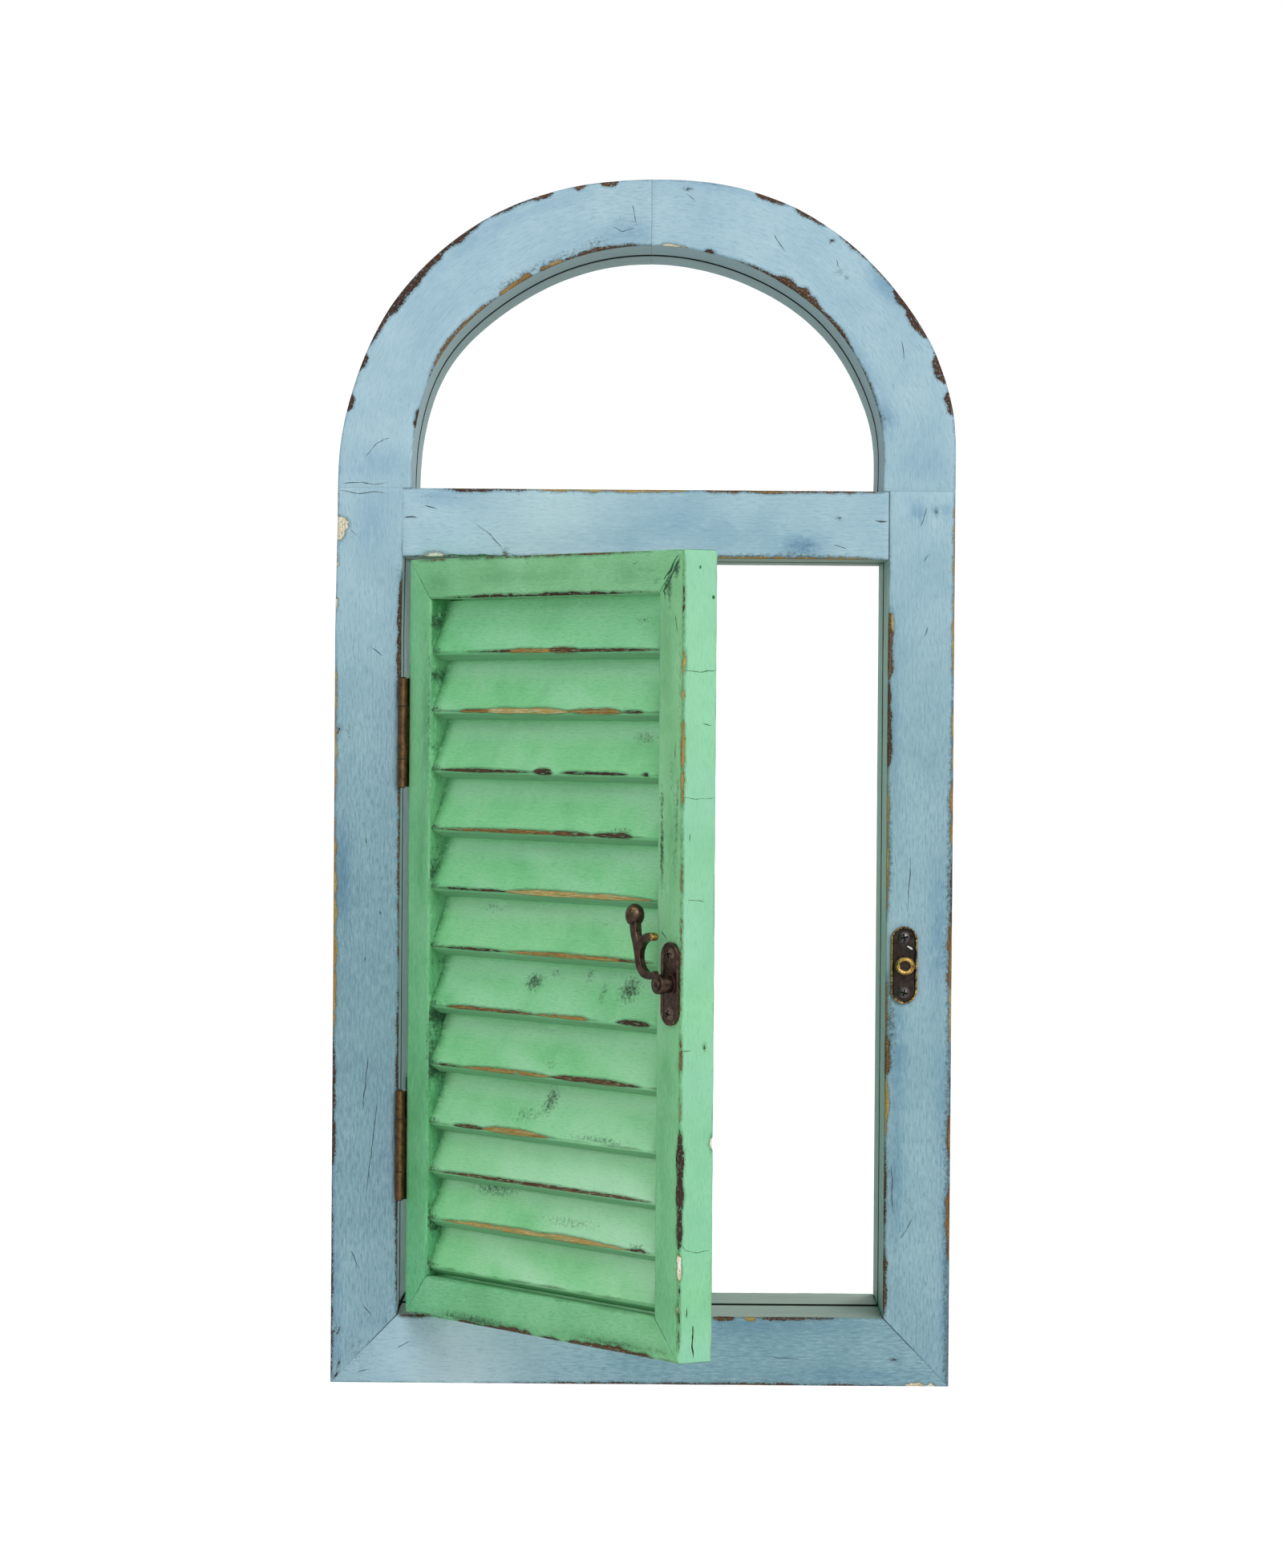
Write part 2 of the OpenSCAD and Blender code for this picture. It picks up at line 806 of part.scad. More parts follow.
// A screw with a low domed head and a cross recess, standing on a plate.
module cross_screw() {
    recess = [plate_head_r * 1.1, plate_head_r * 0.28, head_h];
    translate([0, 0, -plate_screw_l])
        cylinder(r = plate_screw_r, h = plate_screw_l + plate_t);
    dome_r = (plate_head_r^2 + head_h^2) / (2 * head_h);
    difference() {
        intersection() {
            translate([0, 0, plate_t + head_h - dome_r]) sphere(dome_r);
            translate([0, 0, plate_t]) cylinder(r = plate_head_r, h = head_h);
        }
        translate([0, 0, plate_t + head_h])
            for (turn = [0, 90])
                rotate([0, 0, turn]) cube(recess, center = true);
    }
}

module plate_screws() {
    for (end = [-1, 1])
        translate([0, end * plate_screw_out, 0])
            rotate([0, 0, 45 - end * 30]) cross_screw();
}

module latch_plate() {
    boss_r = hub_r - 0.4;
    color(old_bronze)
        at_shutter()
            on_front(rivet_x, latch_h)
                difference() {
                    union() {
                        rimmed_plate();
                        translate([0, 0, plate_t / 2]) cylinder(r = boss_r, h = boss_h - plate_t / 2);
                    }
                    translate([0, 0, -past])
                        cylinder(r = rivet_r + fastener_gap, h = boss_h + 2 * past);
                }
}

module latch_rivet() {
    head_low = arm_top + arm_gap;
    dome_r = (rivet_head_r^2 + head_h^2) / (2 * head_h);
    color(old_bronze)
        at_shutter()
            on_front(rivet_x, latch_h) {
                cylinder(r = rivet_r, h = head_low + head_h / 2);
                intersection() {
                    translate([0, 0, head_low + head_h - dome_r]) sphere(dome_r);
                    translate([0, 0, head_low]) cylinder(r = rivet_head_r, h = head_h);
                }
            }
}

module latch_screws() {
    color(old_bronze)
        at_shutter()
            on_front(rivet_x, latch_h) plate_screws();
}

module keeper_plate() {
    color(old_bronze)
        on_front(peg_x, latch_h)
            difference() {
                rimmed_plate();
                translate([0, 0, -past])
                    cylinder(r = neck_r + fastener_gap, h = plate_t + 2 * past);
            }
}

module keeper_peg() {
    button_low = arm_top + 2 * arm_gap;
    button_top = button_low + button_h;
    chamfer = 0.7;
    collar_r = button_r - chamfer;
    collar_h = 1;
    dish_r = button_r - 1.5;
    dish_h = 0.4;
    color(old_bronze)
        on_front(peg_x, latch_h)
            rotate_extrude()
                polygon([
                    [0, 0], [neck_r, 0], [neck_r, plate_t], [collar_r, plate_t],
                    [collar_r, plate_t + collar_h], [neck_r, plate_t + 2 * collar_h],
                    [neck_r, button_low], [button_r - chamfer, button_low],
                    [button_r, button_low + chamfer], [button_r, button_top - chamfer],
                    [button_r - chamfer, button_top], [dish_r, button_top],
                    [dish_r - dish_h, button_top - dish_h], [0, button_top - dish_h]
                ]);
}

module keeper_screws() {
    color(old_bronze)
        on_front(peg_x, latch_h) plate_screws();
}

// The arm lies flat with its rivet at the origin and its bay along +x.
module latch_arm() {
    shoulder_turn = 60;
    shoulder = [bay_out + band_mid_r * cos(shoulder_turn), band_mid_r * sin(shoulder_turn)];
    neck_at = [(bay_out + bay_r + knob_out) / 2, shoulder[1] * 2 / 3];
    neck_half = band_w * 0.5;
    knob_at = [knob_out, band_w / 2];
    root_half = band_w * 0.65;
    color(old_bronze)
        at_shutter()
            on_front(rivet_x, latch_h)
                rotate([0, 0, arm_raise]) {
                    difference() {
                        translate([0, 0, arm_low])
                            linear_extrude(arm_t) {
                                circle(hub_r);
                                hook_band();
                            }
                        translate([0, 0, arm_low - past])
                            cylinder(r = rivet_r + pin_gap, h = arm_t + 2 * past);
                    }
                    translate([0, 0, arm_low])
                        linear_extrude(arm_t) {
                            arm_link(shoulder, neck_at, band_w / 2, neck_half);
                            arm_link(neck_at, knob_at, neck_half, root_half);
                        }
                    translate([knob_at[0], knob_at[1], arm_low + arm_t / 2])
                        sphere(knob_r);
                }
}

// A straight bar between two points, with round ends of two sizes.
module arm_link(a, b, a_r, b_r) {
    hull() {
        translate(a) circle(a_r, $fn = 32);
        translate(b) circle(b_r, $fn = 32);
    }
}

// The curved band round the bay, from its tip over the top to the hub.
module hook_band() {
    far = 2 * band_mid_r;
    tip = [bay_out + band_mid_r * cos(tip_angle), -band_mid_r * sin(tip_angle)];
    difference() {
        translate([bay_out, 0]) circle(bay_r + band_w);
        translate([bay_out, 0]) circle(bay_r);
        translate([bay_out, 0])
            polygon([
                [0, 0], far * [cos(tip_angle), -sin(tip_angle)],
                [far, -2 * far], [-far, -2 * far], [-far, -0.1]
            ]);
    }
    translate(tip) circle(band_w / 2);
}

// ----------------------------------------------------------------- parts

stile_left();
stile_right();
bottom_rail();
transom_rail();
arch_left();
arch_right();
mirror_glass();
backing_board();
backing_brads();
transom_dowels();
arch_dowels();
foot_nails();
hanging_plate();
hanging_screws();
keeper_plate();
keeper_peg();
keeper_screws();
hinge_top_frame_leaf();
hinge_top_pin();
hinge_bottom_frame_leaf();
hinge_bottom_pin();
frame_hinge_screws();
shutter_stile_hinge();
shutter_stile_latch();
shutter_rail_top();
shutter_rail_bottom();
shutter_corner_nails();
louver(1);  // louver_01
louver(2);  // louver_02
louver(3);  // louver_03
louver(4);  // louver_04
louver(5);  // louver_05
louver(6);  // louver_06
louver(7);  // louver_07
louver(8);  // louver_08
louver(9);  // louver_09
louver(10);  // louver_10
louver(11);  // louver_11
louver(12);  // louver_12
hinge_top_shutter_leaf();
hinge_bottom_shutter_leaf();
shutter_hinge_screws();
latch_plate();
latch_rivet();
latch_screws();
latch_arm();
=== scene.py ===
import json
import math

import bmesh
import bpy
import numpy as np
from mathutils import Matrix, Vector

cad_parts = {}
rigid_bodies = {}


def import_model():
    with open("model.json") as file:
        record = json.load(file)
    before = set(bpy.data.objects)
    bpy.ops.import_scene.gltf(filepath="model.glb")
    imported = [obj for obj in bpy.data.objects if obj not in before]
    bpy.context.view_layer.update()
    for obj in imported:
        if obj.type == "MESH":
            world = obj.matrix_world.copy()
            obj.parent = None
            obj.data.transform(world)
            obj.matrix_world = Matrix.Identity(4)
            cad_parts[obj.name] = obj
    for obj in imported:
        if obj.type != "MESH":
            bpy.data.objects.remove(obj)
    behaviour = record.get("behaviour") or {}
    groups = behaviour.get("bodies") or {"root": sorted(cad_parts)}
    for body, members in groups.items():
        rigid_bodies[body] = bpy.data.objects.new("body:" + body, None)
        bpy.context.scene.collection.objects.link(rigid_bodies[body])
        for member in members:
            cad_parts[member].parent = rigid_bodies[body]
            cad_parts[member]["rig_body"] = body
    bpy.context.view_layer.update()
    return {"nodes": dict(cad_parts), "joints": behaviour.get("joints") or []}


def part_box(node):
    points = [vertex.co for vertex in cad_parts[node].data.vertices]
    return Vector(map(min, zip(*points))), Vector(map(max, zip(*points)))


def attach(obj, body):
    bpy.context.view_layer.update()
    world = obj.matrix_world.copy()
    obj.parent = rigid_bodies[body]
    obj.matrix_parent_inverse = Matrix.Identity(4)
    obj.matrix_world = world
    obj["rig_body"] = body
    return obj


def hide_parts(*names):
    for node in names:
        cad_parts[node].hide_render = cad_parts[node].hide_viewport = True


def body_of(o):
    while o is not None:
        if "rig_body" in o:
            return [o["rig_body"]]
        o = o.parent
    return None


# Looks for the arched shutter mirror: old brush paint over wood, antique bronze
# fittings and a plain mirror. Lengths are in millimetres up to the moment a mesh
# is made. The front faces -Y, x runs to the right and z up.

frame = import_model()

METRE = 1000.0


# ------------------------------------------------------------------ measures

def box_mm(node):
    low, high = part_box(node)
    return np.array(low) * METRE, np.array(high) * METRE


SWING = next(j for j in frame["joints"] if j["name"] == "shutter_swing")
PIN_X, PIN_Y = (p * METRE for p in SWING["pos_m"][:2])
OPEN = math.radians(-SWING["range_deg"][0])


def swing(x, y, angle):
    """Turns points about the hinge pins; a positive angle opens the shutter."""
    c, s = math.cos(-angle), math.sin(-angle)
    dx, dy = x - PIN_X, y - PIN_Y
    return PIN_X + c * dx - s * dy, PIN_Y + s * dx + c * dy


def mesh_points(mesh):
    points = np.empty(len(mesh.vertices) * 3)
    mesh.vertices.foreach_get("co", points)
    return points.reshape(-1, 3) * METRE


def shut_points(mesh):
    """A mesh's points in mm, as if the shutter were shut."""
    points = mesh_points(mesh)
    x, y = swing(points[:, 0], points[:, 1], -OPEN)
    return np.stack([x, y, points[:, 2]], axis=1)


def shut_box(node):
    points = shut_points(frame["nodes"][node].data)
    return points.min(0), points.max(0)


RAIL_LO, RAIL_HI = box_mm("bottom_rail")
TRANSOM_LO, TRANSOM_HI = box_mm("transom_rail")
SHUT_LO, SHUT_HI = shut_box("shutter_rail_top")

HALF_W = RAIL_HI[0]
FRONT, BACK = RAIL_LO[1], RAIL_HI[1]
DEPTH = BACK - FRONT
OPEN_HALF = TRANSOM_HI[0]
STILE_W = HALF_W - OPEN_HALF
RAIL_H = RAIL_HI[2]
TRANSOM_H = TRANSOM_HI[2] - TRANSOM_LO[2]
STILE_TOP = box_mm("stile_left")[1][2]
APEX = box_mm("arch_right")[1][2]
GLASS_DEEP = box_mm("mirror_glass")[0][1] - FRONT
BOARD_DEEP = box_mm("backing_board")[0][1] - FRONT
GLASS_STEP, BOARD_STEP = 5.0, 9.0

# How deep the dark line where wood meets mirror is, and over how much more it fades.
# The line is grime and a painted shadow in the gap.
MIRROR_LINE, MIRROR_FADE = 3.2, 1.8

# The arch: its outside is two quarter circles with a short flat between them,
# and its inside is one circle with short legs.
ARCH_SIDE = 7.0
ARCH_OUT_R = HALF_W - ARCH_SIDE
ARCH_Z = APEX - ARCH_OUT_R
ARCH_LEG = ARCH_Z - STILE_TOP
ARCH_CROWN = 30.0
ARCH_IN_R = OPEN_HALF - 3.0
ARCH_IN_Z = APEX - ARCH_CROWN - ARCH_IN_R
BAND_R = ARCH_OUT_R - STILE_W / 2
ARCH_LEAN, ARCH_SPREAD = 1.75, 0.95
ARCH_RISE = 38.0
# How far each half of the arch strays from those circles, outward in mm. Inside it
# is one swelling, as (degrees, spread, mm); outside it goes by degrees. -1 is left.
INNER_SWELL = {-1: (31, 17, 2.9), 1: (42, 20, 1.9)}
OUTER_DRIFT = {
    -1: ((0, 0), (10, -0.7), (18, -1.1), (26, -0.7), (34, 0), (60, 0), (70, -0.5), (84, -0.6), (90, 0)),
    1: ((0, 0), (10, -1.0), (18, -0.4), (26, 0), (38, -0.5), (50, 0), (62, 0.7), (74, 0.4), (82, 0), (90, 0))}

SH_HALF = SHUT_HI[0]
SH_FRONT = SHUT_LO[1]
SH_T = SHUT_HI[1] - SHUT_LO[1]
SH_TOP, SH_LOW = SHUT_HI[2], shut_box("shutter_rail_bottom")[0][2]
SH_W = SHUT_HI[2] - SHUT_LO[2]
FIELD_HALF = SH_HALF - SH_W

LOUVER_T = 7.0
LOUVER_LEAN = math.radians(22)
LOUVER_NOSE = 1.5
LOUVERS = [f"louver_{i:02d}" for i in range(1, 13)]


# -------------------------------------------------------------- mesh helpers

def wobble(t, seed, pitch):
    """Smooth random values from -1 to 1 along t, one new value every pitch."""
    low = math.floor(np.min(t) / pitch) - 2
    count = int(np.max(t) / pitch) - low + 4
    values = np.random.default_rng(seed).uniform(-1, 1, count)
    at = np.asarray(t) / pitch - low
    i = np.floor(at).astype(int)
    f = at - i
    f = f * f * (3 - 2 * f)
    return values[i] * (1 - f) + values[i + 1] * f


def smooth(x, low, high):
    f = np.clip((x - low) / (high - low), 0, 1)
    return f * f * (3 - 2 * f)


def corner_arc(before, corner, after, radius):
    """A few points that round one corner of an outline."""
    c = np.array(corner, float)
    if radius <= 0:
        return [c]
    a, b = np.array(before, float) - c, np.array(after, float) - c
    a, b = a / np.linalg.norm(a), b / np.linalg.norm(b)
    half = math.acos(np.clip(a @ b, -1, 1)) / 2
    inset = radius / math.tan(half)
    inward = (a + b) / np.linalg.norm(a + b)
    sag = inset * math.cos(half) - radius * (1 / math.sin(half) - 1)
    arc = []
    for f in (0, 1 / 3, 2 / 3, 1):
        chord = c + a * inset * (1 - f) + b * inset * f
        arc.append(chord - inward * sag * 4 * f * (1 - f))
    return arc


def round_section(corners, radii, pitch):
    """Points round a closed outline, rounded at its corners and denser there."""
    count = len(corners)
    arcs = [corner_arc(corners[i - 1], corners[i], corners[(i + 1) % count], radii[i])
            for i in range(count)]
    points = []
    for i, arc in enumerate(arcs):
        points.extend(arc)
        start, stop = arc[-1], arcs[(i + 1) % count][0]
        steps = max(1, int(round(np.linalg.norm(stop - start) / pitch)))
        for k in range(1, steps):
            f = k / steps
            if steps > 3:  # closer together near the corners
                f = 0.62 * (0.5 - 0.5 * math.cos(math.pi * f)) + 0.38 * f
            points.append(start + (stop - start) * f)
    return np.array(points)


def stroke_width(t, stroke):
    """How far wear reaches from an arris along one stroke, negative outside it."""
    start, stop, width = stroke[:3]
    middle, half = (start + stop) / 2, max(abs(stop - start) / 2, 0.5)
    q = np.abs(t - middle) / half
    return width * (1 - q ** 4) - np.clip(q - 1, 0, 9) * half * 0.4


SHARP_ANGLE = math.radians(40)


def new_object(name, data):
    obj = bpy.data.objects.new(name, data)
    bpy.context.scene.collection.objects.link(obj)
    return obj


def object_of(name, work):
    """An object from the faces drawn in a bmesh, which is freed."""
    mesh = bpy.data.meshes.new(name)
    work.to_mesh(mesh)
    work.free()
    return new_object(name, mesh)


def shade_smooth(mesh):
    for polygon in mesh.polygons:
        polygon.use_smooth = True


def settle(obj):
    """Makes an object's modifiers part of its mesh."""
    bpy.context.view_layer.update()
    graph = bpy.context.evaluated_depsgraph_get()
    obj.data = bpy.data.meshes.new_from_object(obj.evaluated_get(graph))
    obj.modifiers.clear()


def new_piece(name, verts, faces):
    """A smooth piece that keeps its arrises sharp."""
    mesh = bpy.data.meshes.new(name)
    mesh.from_pydata([tuple(p) for p in verts], [], faces)
    work = bmesh.new()
    work.from_mesh(mesh)
    bmesh.ops.recalc_face_normals(work, faces=work.faces)
    work.to_mesh(mesh)
    work.free()
    shade_smooth(mesh)
    mesh.set_sharp_from_angle(angle=SHARP_ANGLE)
    return new_object(name, mesh)


def put_values(obj, name, values):
    layer = obj.data.attributes.new(name, "FLOAT", "POINT")
    layer.data.foreach_set("value", np.asarray(values, np.float32).ravel())


def put_vectors(obj, name, values):
    layer = obj.data.attributes.new(name, "FLOAT_VECTOR", "POINT")
    layer.data.foreach_set("vector", np.asarray(values, np.float32).ravel())


def dress(obj, material, body, slot, *nodes):
    obj.data.materials.clear()
    obj.data.materials.append(material)
    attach(obj, body)
    if nodes:
        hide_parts(*nodes)


# --------------------------------------------------------------- wood pieces

# A sliver for a crack stands just proud of its face and reaches a little below it.
SLIVER_TOP, SLIVER_FOOT = -0.035, 0.20
# Wear is counted up to FAR from the edge of a bare patch. Arrises are rounded and
# dented within ARRIS, and deeper the more they are worn, as far as DENTED.
FAR, ARRIS, DENTED = 6.0, 1.1, 2.2


class Member:
    """One stick of wood: a section swept along it, with its own wear.

    place(t, u, v) gives x, y and z, with t along the stick, u across it from its
    outer edge and v into its depth from its front. edges maps an arris to the
    function that gives a point's distance from it.
    """

    # Rings of vertices are about PITCH apart, and an end's ring is END past the last.
    PITCH, END = 2.2, 0.35

    def __init__(self, name, body, section, place, span, edges, seed):
        self.name, self.body, self.seed = name, body, seed
        self.section, self.place, self.span, self.edges = section, place, span, edges
        self.wide, self.deep = section[:, 0].max(), section[:, 1].max()
        self.strokes, self.spots, self.stains, self.tints = {}, [], [], []
        # How wear wanders along an arris, as (pitch, size); the depth from which the
        # wood is raw; how dark the coat is, along and across the stick, on many members a
        # painted shade; the chamfer and the joint lines at both ends; and values that one
        # member alone adds.
        self.wave = (4.0, 0.4)
        self.raw_from = math.inf
        self.shades = [(0, 0.0)]
        self.shaded = lambda u, v: 1.0
        self.chamfer = 0.15
        self.seams = (0.6, 0.6)
        self.extra = {}

    def rub(self, edge, *strokes):
        """Wear along an arris, as (from, to, width, tone)."""
        self.strokes.setdefault(edge, []).extend(strokes)

    def spot(self, *spots, face="front"):
        """Bare spots, as (t, across, half length, half width, tone)."""
        self.spots.extend((face, *spot) for spot in spots)

    def stain(self, *stains):
        """Dark stains on the front, and in places painted shade, as (t, across, half length, half width,
        amount).
        """
        self.stains.extend(("front", *stain) for stain in stains)

    def tint(self, *tints):
        """Patches of deeper paint, in places a painted shade, given like stains."""
        self.tints.extend(("front", *tint) for tint in tints)

    def shade(self, *shades):
        """How much darker the coat is along the stick, as (t, amount); on many members a painted shade."""
        self.shades = sorted(shades)

    def ends(self, u):
        return np.full_like(u, self.span[0]), np.full_like(u, self.span[1])

    def grid(self):
        """Coordinates t, u, v of every vertex, ring by ring."""
        length = self.span[1] - self.span[0]
        steps = max(2, int(round(length / self.PITCH)))
        end = self.END / length
        share = np.concatenate([[0], np.linspace(end, 1 - end, steps + 1), [1]])
        low, high = self.ends(self.section[:, 0])
        t = low[None, :] + share[:, None] * (high - low)[None, :]
        u = np.repeat(self.section[None, :, 0], len(share), 0)
        v = np.repeat(self.section[None, :, 1], len(share), 0)
        return t, u, v

    def patches(self, t, u, v, listed):
        """For each patch: its face's vertices, distance in patch sizes, size, amount."""
        for face, at, across, rt, ra, amount in listed:
            a, on = (u, v < 1.5) if face == "front" else (v, u < 1.0)
            q = np.sqrt(((t - at) / rt) ** 2 + ((a - across) / ra) ** 2)
            yield on, q, min(rt, ra), amount

    def edge_wear(self, number, edge, t, far):
        """The bare zone along one arris, and its tone, for points so far from it."""
        bare = -0.30 + 0.50 * wobble(t, self.seed * 31 + number, 9.0) - far
        tone = np.full(t.shape, 0.75)
        pitch, size = self.wave
        for j, stroke in enumerate(self.strokes.get(edge, [])):
            ragged = 1 + size * wobble(t, self.seed * 57 + 7 * number + j, pitch)
            width = stroke_width(t, stroke)
            width = np.where(width > 0, width * ragged, width) - far
            tone = np.where(width > bare, stroke[3], tone)
            bare = np.maximum(bare, width)
        return bare, tone

    def wear(self, t, u, v):
        """Signed depth of the bare zones in mm, and the tone of what shows there.

        Beyond raw_from the wood was never painted, apart from smears at its edge.
        """
        zones = [self.edge_wear(number, edge, t, away(u, v))
                 for number, (edge, away) in enumerate(self.edges.items())]
        zones += [(np.where(on, (1 - q) * size, -FAR), shade)
                  for on, q, size, shade in self.patches(t, u, v, self.spots)]
        bare, tone = np.full(t.shape, -FAR), np.full(t.shape, 0.7)
        for field, shade in zones:
            tone = np.where(field > bare, shade, tone)
            bare = np.maximum(bare, field)
        raw = v > self.raw_from
        smears = 1.1 + 0.9 * wobble(t, 3, 24.0) - 0.12 * np.clip(6 - u, 0, 6) ** 1.5
        tone = np.where(raw, 0.36 + 0.08 * wobble(t, self.seed, 60.0), tone)
        bare = np.where(raw, np.maximum(bare, smears), bare)
        return np.clip(bare, -FAR, FAR), tone

    def blots(self, t, u, v, listed):
        amount = np.zeros(t.shape)
        for on, q, _, strength in self.patches(t, u, v, listed):
            amount += strength * np.exp(-1.4 * q * q) * on
        return amount

    def seam(self, u):
        """Dark joint lines at both ends."""
        dark = np.zeros(u.shape)
        for row, strength in ((0, self.seams[0]), (-1, self.seams[1])):
            dark[row] = strength(u[row]) if callable(strength) else strength
        return dark

    def soften(self, t, u, v, bare):
        """Rounds and dents the arrises, and chamfers the stick's ends."""
        inward_u, inward_v = np.sign(self.wide / 2 - u), np.sign(self.deep / 2 - v)
        du, dv = np.zeros(t.shape), np.zeros(t.shape)
        for k, away in enumerate(self.edges.values()):
            near = np.exp(-((away(u, v) / ARRIS) ** 2))
            dent = 0.08 + 0.08 * wobble(t, self.seed * 91 + k, 6.0)
            dent = dent + 0.14 * np.clip(bare, 0, DENTED)
            du += near * dent * inward_u
            dv += near * dent * inward_v
        for row in (0, -1):
            du[row] += self.chamfer * inward_u[row] * (np.abs(u[row] - self.wide / 2) > 1)
            dv[row] += self.chamfer * inward_v[row] * (np.abs(v[row] - self.deep / 2) > 1)
        return u + du, v + dv

    def build(self, material, slot, node):
        t, u, v = self.grid()
        bare, tone = self.wear(t, u, v)
        values = {
            "wear": bare, "tone": tone, "seam": self.seam(u),
            "stain": self.blots(t, u, v, self.stains), "tint": self.blots(t, u, v, self.tints),
            "shade": np.interp(t, *zip(*self.shades)) * self.shaded(u, v),
            "old_coat": np.zeros(t.shape), "pale": np.zeros(t.shape)}
        for name, change in self.extra.items():
            values[name] = np.maximum(values[name], change(t, u, v))
        x, y, z = self.place(t, *self.soften(t, u, v, bare))
        rows, cols = t.shape
        verts = np.stack([x, y, z], -1).reshape(-1, 3) / METRE
        faces = [(i * cols + j, i * cols + k, (i + 1) * cols + k, (i + 1) * cols + j)
                 for i in range(rows - 1) for j, k in zip(range(cols), list(range(1, cols)) + [0])]
        faces += [tuple(range(cols)), tuple(range((rows - 1) * cols, rows * cols))]
        obj = new_piece(self.name, verts, faces)
        for name, value in values.items():
            put_values(obj, name, value)
        put_vectors(obj, "grain", np.stack([t + 900 * self.seed, u, v], -1))
        dress(obj, material, self.body, slot, node)
        return obj

    def sliver(self, face, width, path, seed):
        """Four rows of points round one thin sliver along a path on a face."""
        path = np.array(path, float)
        steps = np.concatenate([[0], np.cumsum(np.linalg.norm(np.diff(path, axis=0), axis=1))])
        count = max(4, int(steps[-1] / 1.1))
        along = np.linspace(0, steps[-1], count)
        t, a = np.interp(along, steps, path[:, 0]), np.interp(along, steps, path[:, 1])
        dt, da = np.gradient(t), np.gradient(a)
        size = np.hypot(dt, da)
        shift = 0.25 * wobble(along, seed, 3.0)
        half = width / 2 * (1 - (2 * along / steps[-1] - 1) ** 4 * 0.85)
        half = half * (1 + 0.5 * wobble(along, seed + 5, 1.6))
        rows = []
        for offset, lift in ((half, SLIVER_TOP), (-half, SLIVER_TOP),
                             (-half, SLIVER_FOOT), (half, SLIVER_FOOT)):
            tt, aa = t - da / size * (shift + offset), a + dt / size * (shift + offset)
            level = np.full_like(tt, lift)
            x, y, z = self.place(tt, aa, level) if face == "front" else self.place(tt, level, aa)
            rows.append(np.stack([x, y, z], -1) / METRE)
        return rows

    def lines(self, face, *paths):
        """Slivers let into the front or side, each given as (width, (t, across), ...)."""
        verts, faces = [], []
        for number, (width, *path) in enumerate(paths):
            rows = self.sliver(face, width, path, self.seed * 13 + number)
            start, count = len(verts), len(rows[0])
            for side, row in enumerate(rows):
                verts.extend(row)
                a0, b0 = start + side * count, start + (side + 1) % 4 * count
                faces.extend((a0 + i, a0 + i + 1, b0 + i + 1, b0 + i) for i in range(count - 1))
            faces.extend(tuple(start + side * count + end for side in range(4)) for end in (0, count - 1))
        return verts, faces


def draw_lines(name, material, body, slot, *drawn):
    """One piece from the marks that lines() gave for several members."""
    verts, faces = [], []
    for more, joined in drawn:
        faces.extend(tuple(i + len(verts) for i in face) for face in joined)
        verts.extend(more)
    dress(new_piece(name, verts, faces), material, body, slot)


# ------------------------------------------------------------ shader helpers

def colour(red, green, blue):
    """A colour from its usual 0 to 255 numbers, as a shader wants it."""
    def linear(c):
        c /= 255
        return c / 12.92 if c <= 0.04045 else ((c + 0.055) / 1.055) ** 2.4
    return (linear(red), linear(green), linear(blue), 1.0)


class Nodes:
    """Builds a node tree from short calls, each of which returns a socket."""

    def __init__(self, owner):
        owner.use_nodes = True
        self.tree = owner.node_tree

    def put(self, socket, value):
        if isinstance(value, bpy.types.NodeSocket):
            self.tree.links.new(value, socket)
        else:
            socket.default_value = value

    def node(self, kind, **inputs):
        made = self.tree.nodes.new(kind)
        for name, value in inputs.items():
            self.put(made.inputs[name.replace("_", " ")], value)
        return made

    def math(self, operation, *values):
        made = self.tree.nodes.new("ShaderNodeMath")
        made.operation = operation
        for socket, value in zip(made.inputs, values):
            self.put(socket, value)
        return made.outputs[0]

    def add(self, *values):
        total = values[0]
        for value in values[1:]:
            total = self.math("ADD", total, value)
        return total

    def times(self, a, b):
        return self.math("MULTIPLY", a, b)

    def scaled(self, value, factor, centre=0.0):
        """The value less its centre, times a factor."""
        return self.times(self.math("SUBTRACT", value, centre), factor)

    def step(self, value, low, high, start=0.0, stop=1.0):
        made = self.node("ShaderNodeMapRange", Value=value, From_Min=low, From_Max=high,
                         To_Min=start, To_Max=stop)
        made.interpolation_type = "SMOOTHSTEP"
        return made.outputs["Result"]


